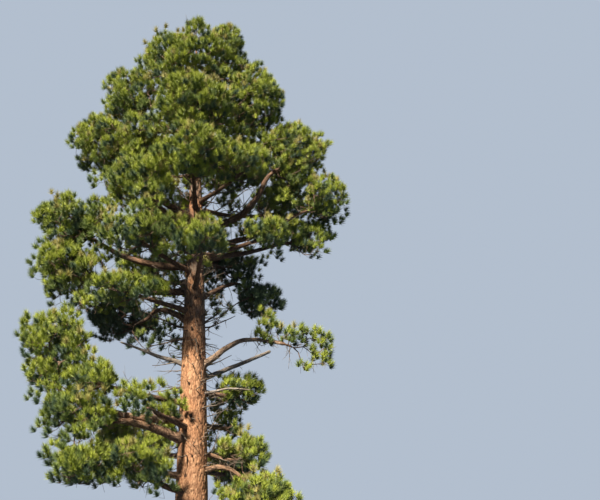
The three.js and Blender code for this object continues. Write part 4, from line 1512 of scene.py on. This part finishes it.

# %% [markdown]
# ## The needles' tints
# The sunlit green of the photo is a mix, so every tuft is dealt one of five plain colours, from
# straw to a deep blue-green. Which one it gets is mostly luck, but tufts on top of their dome, on
# the outside of their mass or high on it come earlier in the order, and shaded ones later. So the
# brighter tints up there are partly fresh growth and partly painted sunlight, and the deep tints in
# shaded places are painted shade on older needles. Each tint then gets its share of all tufts, so
# the mix stays the same whatever the tree's shape.

# %% Needle tints
TINTS = [
    # name, share of the tufts, colour
    ("straw", 0.07, (0.42, 0.375, 0.12)),
    ("fresh", 0.25, (0.415, 0.465, 0.065)),
    ("bright", 0.28, (0.305, 0.36, 0.055)),
    ("mid", 0.22, (0.175, 0.232, 0.056)),
    # deep: older blue-green needles, its blue partly painted shade under open sky
    ("deep", 0.18, (0.078, 0.124, 0.062)),
]
LUCK_WEIGHT, DOME_TOP_FRESH_AND_PAINTED_LIGHT, OUTSIDE_FRESH_AND_PAINTED_LIGHT, MASS_TOP_PAINTED_LIGHT = 0.85, 0.6, 0.7, 0.12
MOST_OUTSIDE = 1.1

luck = even_points(tuft_count, 0.37)
tuft_places = np.vstack([dome.places for dome in all_domes])
tuft_ways = np.vstack([dome.ways for dome in all_domes])
tuft_middles = np.vstack([np.tile(dome.middle, (len(dome.places), 1)) for dome in all_domes])
tuft_masses = np.concatenate([np.full(len(dome.places), dome.mass) for dome in all_domes])
tuft_painted_shades = np.concatenate([np.full(len(dome.places), dome.shade) for dome in all_domes])
off_middle = tuft_places - centres[tuft_masses]
in_dome = (tuft_places - tuft_middles)[:, 2] / DOME_HIGH
in_mass = (off_middle[:, 2] / halves[tuft_masses, 2]).clip(-1, 1)
outside = np.linalg.norm(off_middle / halves[tuft_masses], axis=1).clip(0, MOST_OUTSIDE)
# Painted light: tops of domes and masses and their outsides sort to bright tints, painted shade to
# deep ones.
key = (
    LUCK_WEIGHT * luck[:, 0] - DOME_TOP_FRESH_AND_PAINTED_LIGHT * in_dome - OUTSIDE_FRESH_AND_PAINTED_LIGHT * outside
    - MASS_TOP_PAINTED_LIGHT * in_mass + tuft_painted_shades
)
order = np.argsort(np.argsort(key))
limits = np.cumsum([share for _, share, _ in TINTS]) * tuft_count
tint_of = np.searchsorted(limits, order, side="right")
print("tufts of each tint:", np.bincount(tint_of).tolist())

# %% [markdown]
# ## Needles
# The needles of a tuft spring from the last few centimetres of its shoot, the foremost pointing
# forward and the rear ones outward, so the tuft is a brush that opens to a ball. Real needles are
# 15 to 20 cm long, as these are, but there are many more to a tuft and they are far thinner. Each
# slim face here stands for a bundle and its neighbours, so it is 24 mm wide at its root: thinner
# ones, at the count that the whole tree may have, would leave the tufts open to the sky.

# %% Needle pieces
NEEDLES_PER_TUFT = 50
NEEDLE_LENGTH = 0.205
NEEDLE_HALF_WIDTH = 0.012
NEEDLE_VARIES = (0.82, 0.3)
BRUSH_DEPTH = 0.12
BRUSH_OPENS = (0.99, 0.62)
MOST_FACES = 190000


def needles_of(chosen):
    """The roots and tips of the needles of these tufts."""
    j = np.arange(1, NEEDLES_PER_TUFT + 1)
    a, b, c = ((luck[chosen, 1][:, None] + j * EVEN**-k) % 1 for k in (1.0, 2.0, 3.0))
    rise = BRUSH_OPENS[0] - BRUSH_OPENS[1] * a
    flat = np.sqrt(1 - rise * rise)
    shoot = tuft_ways[chosen]
    side, over = cross_frames(shoot)
    way = (
        rise[..., None] * shoot[:, None]
        + (flat * np.cos(2 * np.pi * b))[..., None] * side[:, None]
        + (flat * np.sin(2 * np.pi * b))[..., None] * over[:, None]
    )
    size = NEEDLE_VARIES[0] + NEEDLE_VARIES[1] * luck[chosen, 2]
    length = NEEDLE_LENGTH * size[:, None] * (NEEDLE_VARIES[0] + NEEDLE_VARIES[1] * c)
    roots = tuft_places[chosen][:, None] - (BRUSH_DEPTH * a)[..., None] * shoot[:, None]
    tips = roots + length[..., None] * way
    return roots.reshape(-1, 3), tips.reshape(-1, 3)


needle_pieces = {}
for number, (tint, _, _) in enumerate(TINTS):
    chosen = np.flatnonzero(tint_of == number)
    lots = math.ceil(len(chosen) * NEEDLES_PER_TUFT / MOST_FACES)
    needle_pieces[tint] = []
    for lot, tufts in enumerate(np.array_split(chosen, lots)):
        name = f"needles_{tint}" + (f"_{lot + 1}" if lots > 1 else "")
        needles = slim_needles(*needles_of(tufts), NEEDLE_HALF_WIDTH)
        needle_pieces[tint].append(joined_piece(name, [needles], "needles", foliage_nodes))

# %% [markdown]
# ## Helpers for the finishes
# A finish is a small tree of nodes, and most of its lines would say the same: make a node, set it
# up, and give each input a value or a link. These helpers say it once.

# %% Node helpers
def new_node(tree, kind, inputs, **settings):
    """A node with these settings and these inputs, each by name or number, as value or link."""
    node = tree.nodes.new("ShaderNode" + kind)
    for key, value in settings.items():
        setattr(node, key, value)
    for key, value in inputs.items():
        if isinstance(value, bpy.types.NodeSocket):
            tree.links.new(value, node.inputs[key])
        else:
            node.inputs[key].default_value = value
    return node


def blend_colours(tree, factor, first, second):
    """A colour mix."""
    return new_node(tree, "Mix", {0: factor, 6: first, 7: second}, data_type="RGBA").outputs[2]


def ranged(tree, value, from_range, to_range=(0.0, 1.0)):
    """A value's range mapped to another, smoothly and clamped."""
    inputs = {
        "Value": value, "From Min": from_range[0], "From Max": from_range[1],
        "To Min": to_range[0], "To Max": to_range[1],
    }
    mapped = new_node(tree, "MapRange", inputs, interpolation_type="SMOOTHSTEP")
    return mapped.outputs["Result"]


def new_finish(name, specular):
    """A material, its tree of nodes and its shader."""
    finish = bpy.data.materials.new(name)
    finish.use_nodes = True
    shader = finish.node_tree.nodes["Principled BSDF"]
    shader.inputs["Specular IOR Level"].default_value = specular
    return finish, finish.node_tree, shader


print("a finish starts with", len(pale.node_tree.nodes), "nodes: the shader and the output")

# %% [markdown]
# ## The bark's finish
# Bark needs more than one brown: pale orange plates of thin flakes, dark furrows, and grey where
# weather has bleached it. Fine fissures run through the plates, and the knots' hollows are almost
# black. One node group makes the colour, the roughness and the fine relief from the mesh's own
# attributes, and each kind of bark gives it its own colours.

# %% Bark group
KNOT_COLOUR = (0.045, 0.024, 0.015, 1)
ALONG_LIMB = (1, 1, 0.27)
FISSURE_WANDER = (0.03, 0.03, 0.03)
COLOUR, FLOAT, VECTOR = "NodeSocketColor", "NodeSocketFloat", "NodeSocketVector"

bark_group = bpy.data.node_groups.new("bark_finish", "ShaderNodeTree")
for label, kind in (
    ("Space", VECTOR), ("Relief", FLOAT), ("Plate", FLOAT), ("Light", COLOUR), ("Dark", COLOUR),
    ("Furrow", COLOUR), ("Grey", COLOUR), ("Weathering", FLOAT), ("Flakes", FLOAT),
    ("Fissures", FLOAT),
):
    bark_group.interface.new_socket(name=label, in_out="INPUT", socket_type=kind)
for label, kind in (("Color", COLOUR), ("Roughness", FLOAT), ("Height", FLOAT)):
    bark_group.interface.new_socket(name=label, in_out="OUTPUT", socket_type=kind)
given = bark_group.nodes.new("NodeGroupInput").outputs
made = bark_group.nodes.new("NodeGroupOutput").inputs

squeezed = new_node(
    bark_group, "Mapping", {"Vector": given["Space"], "Scale": ALONG_LIMB}
).outputs["Vector"]
flakes = new_node(bark_group, "TexVoronoi", {"Vector": squeezed, "Scale": given["Flakes"]})
grain = new_node(
    bark_group, "TexNoise", {"Vector": squeezed, "Scale": 38.0, "Detail": 4.0, "Roughness": 0.65}
)
patches = new_node(
    bark_group, "TexNoise",
    {"Vector": given["Space"], "Scale": 0.9, "Detail": 3.0, "Roughness": 0.6},
)
flake_tint = new_node(bark_group, "SeparateColor", {"Color": flakes.outputs["Color"]})
tint = new_node(
    bark_group, "Math", {0: flake_tint.outputs["Red"], 1: given["Plate"]}, operation="ADD"
)
colour = blend_colours(
    bark_group, ranged(bark_group, tint.outputs[0], (0.3, 1.7)), given["Dark"], given["Light"]
)
bleached = ranged(bark_group, patches.outputs["Fac"], (0.38, 0.68))
weather = new_node(bark_group, "Math", {0: bleached, 1: given["Weathering"]}, operation="MULTIPLY")
colour = blend_colours(bark_group, weather.outputs[0], colour, given["Grey"])
streaks = ranged(bark_group, grain.outputs["Fac"], (0.25, 0.5), (0.55, 0.0))
colour = blend_colours(bark_group, streaks, colour, given["Furrow"])
raised = ranged(bark_group, given["Relief"], (0.0, 0.5), (0.45, 1.0))
colour = blend_colours(bark_group, raised, given["Furrow"], colour)
wandering = new_node(
    bark_group, "VectorMath", {0: grain.outputs["Color"], 1: FISSURE_WANDER, 2: squeezed},
    operation="MULTIPLY_ADD",
)
fissures = new_node(
    bark_group, "TexVoronoi",
    {"Vector": wandering.outputs["Vector"], "Scale": given["Fissures"]},
    feature="DISTANCE_TO_EDGE",
)
whole = ranged(bark_group, fissures.outputs["Distance"], (0.01, 0.11), (0.25, 1.0))
colour = blend_colours(bark_group, whole, given["Furrow"], colour)
outside_knot = ranged(bark_group, given["Relief"], (-0.7, 0.0), (0.1, 1.0))
colour = blend_colours(bark_group, outside_knot, KNOT_COLOUR, colour)
gloss = ranged(bark_group, grain.outputs["Fac"], (0.2, 0.8), (0.95, 0.72))
flaking = ranged(bark_group, flakes.outputs["Distance"], (0.0, 0.9), (1.0, 0.0))
for label, result in (("Color", colour), ("Roughness", gloss), ("Height", flaking)):
    bark_group.links.new(result, made[label])
print("the bark group has", len(bark_group.nodes), "nodes")

# %% [markdown]
# ## Kinds of bark
# The trunk is the warmest and its plates are the widest. Higher up it turns greyer and darker,
# partly because the thin young bark there bleaches and partly as painted shade from the crown
# above.
# Boughs are darker, partly their own duller bark and partly painted shade. The long bare arm and
# the low boughs are paler with painted sunlight, and dead limbs have lost their bark and are grey.

# %% Bark materials
BARKS = [
    # name; light and dark plates; furrows and weathered grey; weathering, flakes, fissures, bump
    ("old_bark", (0.60, 0.33, 0.175), (0.42, 0.205, 0.10),
     (0.15, 0.066, 0.032), (0.25, 0.19, 0.14), 0.2, 20, 13.5, 0.006),
    # The boughs' bark: darker, partly its own duller bark and partly painted shade.
    ("bough_bark", (0.27, 0.15, 0.085), (0.15, 0.082, 0.048),
     (0.035, 0.02, 0.013), (0.2, 0.155, 0.12), 0.5, 26, 17, 0.004),
    ("dead_wood", (0.42, 0.36, 0.30), (0.27, 0.21, 0.16),
     (0.07, 0.05, 0.04), (0.45, 0.42, 0.38), 0.7, 30, 20, 0.003),
    # The arm's bark: paler with painted sunlight, greyer as its own bark.
    ("arm_bark", (0.46, 0.32, 0.215), (0.30, 0.19, 0.12),
     (0.08, 0.05, 0.035), (0.36, 0.3, 0.24), 0.5, 26, 17, 0.004),
    # The low boughs' bark: paler with painted sunlight.
    ("low_bough_bark_painted_sunlit", (0.46, 0.275, 0.165), (0.29, 0.165, 0.095),
     (0.06, 0.034, 0.02), (0.3, 0.22, 0.16), 0.35, 24, 15, 0.004),
]
BARK_OF = {"dead": "dead_wood", "arm": "arm_bark", "bough_low": "low_bough_bark_painted_sunlit"}
BARK_SPECULAR = 0.25
BARK_BUMP = 0.7
GREYING_AND_PAINTED_SHADE_HEIGHTS, GREYING_AND_PAINTED_SHADE_AMOUNTS = (9.2, 12.5), (0.2, 1.5)


def bark_material(name, light, dark, furrow, grey, weathering, flakes, fissures, bump):
    """A material round the bark group. Colours and amounts are this bark's own."""
    finish, tree, shader = new_finish(name, BARK_SPECULAR)
    inputs = {
        "Light": (*light, 1), "Dark": (*dark, 1), "Furrow": (*furrow, 1), "Grey": (*grey, 1),
        "Weathering": weathering, "Flakes": flakes, "Fissures": fissures,
    }
    for label, source, output in (
        ("Space", "limb_space", "Vector"), ("Relief", "relief", "Fac"), ("Plate", "plate", "Fac"),
    ):
        inputs[label] = new_node(tree, "Attribute", {}, attribute_name=source).outputs[output]
    group = new_node(tree, "Group", inputs, node_tree=bark_group)
    bump_node = new_node(
        tree, "Bump",
        {"Strength": BARK_BUMP, "Distance": bump, "Height": group.outputs["Height"]},
    )
    tree.links.new(group.outputs["Color"], shader.inputs["Base Color"])
    tree.links.new(group.outputs["Roughness"], shader.inputs["Roughness"])
    tree.links.new(bump_node.outputs["Normal"], shader.inputs["Normal"])
    return finish


barks = {row[0]: bark_material(*row) for row in BARKS}
trunk_tree = barks["old_bark"].node_tree
# Painted shade: from 9.2 m up the trunk's bark turns greyer and darker, partly bleached young bark.
place = new_node(trunk_tree, "TexCoord", {})
axes = new_node(trunk_tree, "SeparateXYZ", {"Vector": place.outputs["Object"]})
greying_and_painted_shade = ranged(trunk_tree, axes.outputs["Z"], GREYING_AND_PAINTED_SHADE_HEIGHTS, GREYING_AND_PAINTED_SHADE_AMOUNTS)
trunk_group = next(node for node in trunk_tree.nodes if node.type == "GROUP")
trunk_tree.links.new(greying_and_painted_shade, trunk_group.inputs["Weathering"])

trunk_bark.data.materials.append(barks["old_bark"])
for piece in bough_barks + stem_barks:
    kinds = [bark for start, bark in BARK_OF.items() if piece.name.startswith(start)]
    piece.data.materials.append(barks[kinds[0] if kinds else "bough_bark"])
print("kinds of bark:", list(barks))

# %% [markdown]
# ## Twigs' and needles' finishes
# Twigs and needles are too small to show a pattern of their own. Each has a plain colour that
# drifts a little towards a second one from place to place, with the gloss drifting along, so that
# no two tufts side by side look stamped.

# %% Twig and needle materials
SPECKLE_DETAIL = 2.0
GLOSS_DRIFT = 0.06
NEEDLE_SHADE = 0.82


def speckled_material(name, colour, other, scale, roughness, specular):
    """A plain colour with small, placeless changes in tint and gloss."""
    finish, tree, shader = new_finish(name, specular)
    where = new_node(tree, "TexCoord", {}).outputs["Object"]
    speckle = new_node(
        tree, "TexNoise", {"Vector": where, "Scale": scale, "Detail": SPECKLE_DETAIL}
    ).outputs["Fac"]
    drift = ranged(tree, speckle, (0.35, 0.65))
    mixed = blend_colours(tree, drift, (*colour, 1), (*other, 1))
    ends = roughness - GLOSS_DRIFT, roughness + GLOSS_DRIFT
    tree.links.new(mixed, shader.inputs["Base Color"])
    tree.links.new(ranged(tree, speckle, (0.3, 0.7), ends), shader.inputs["Roughness"])
    return finish


twig_bark = speckled_material("twig_bark", (0.13, 0.085, 0.06), (0.2, 0.13, 0.09), 9, 0.85, 0.2)
for piece in (branches, twigs):
    piece.data.materials.append(twig_bark)
dead_twigs.data.materials.append(
    speckled_material("dead_twig_bark", (0.10, 0.072, 0.052), (0.24, 0.19, 0.145), 2, 0.85, 0.2)
)
for tint, _, colour in TINTS:
    other = tuple(NEEDLE_SHADE * channel for channel in colour)
    finish = speckled_material("needle_" + tint, colour, other, 5, 0.5, 0.35)
    for piece in needle_pieces[tint]:
        piece.data.materials.append(finish)
print("materials:", [finish.name for finish in bpy.data.materials if finish.users])
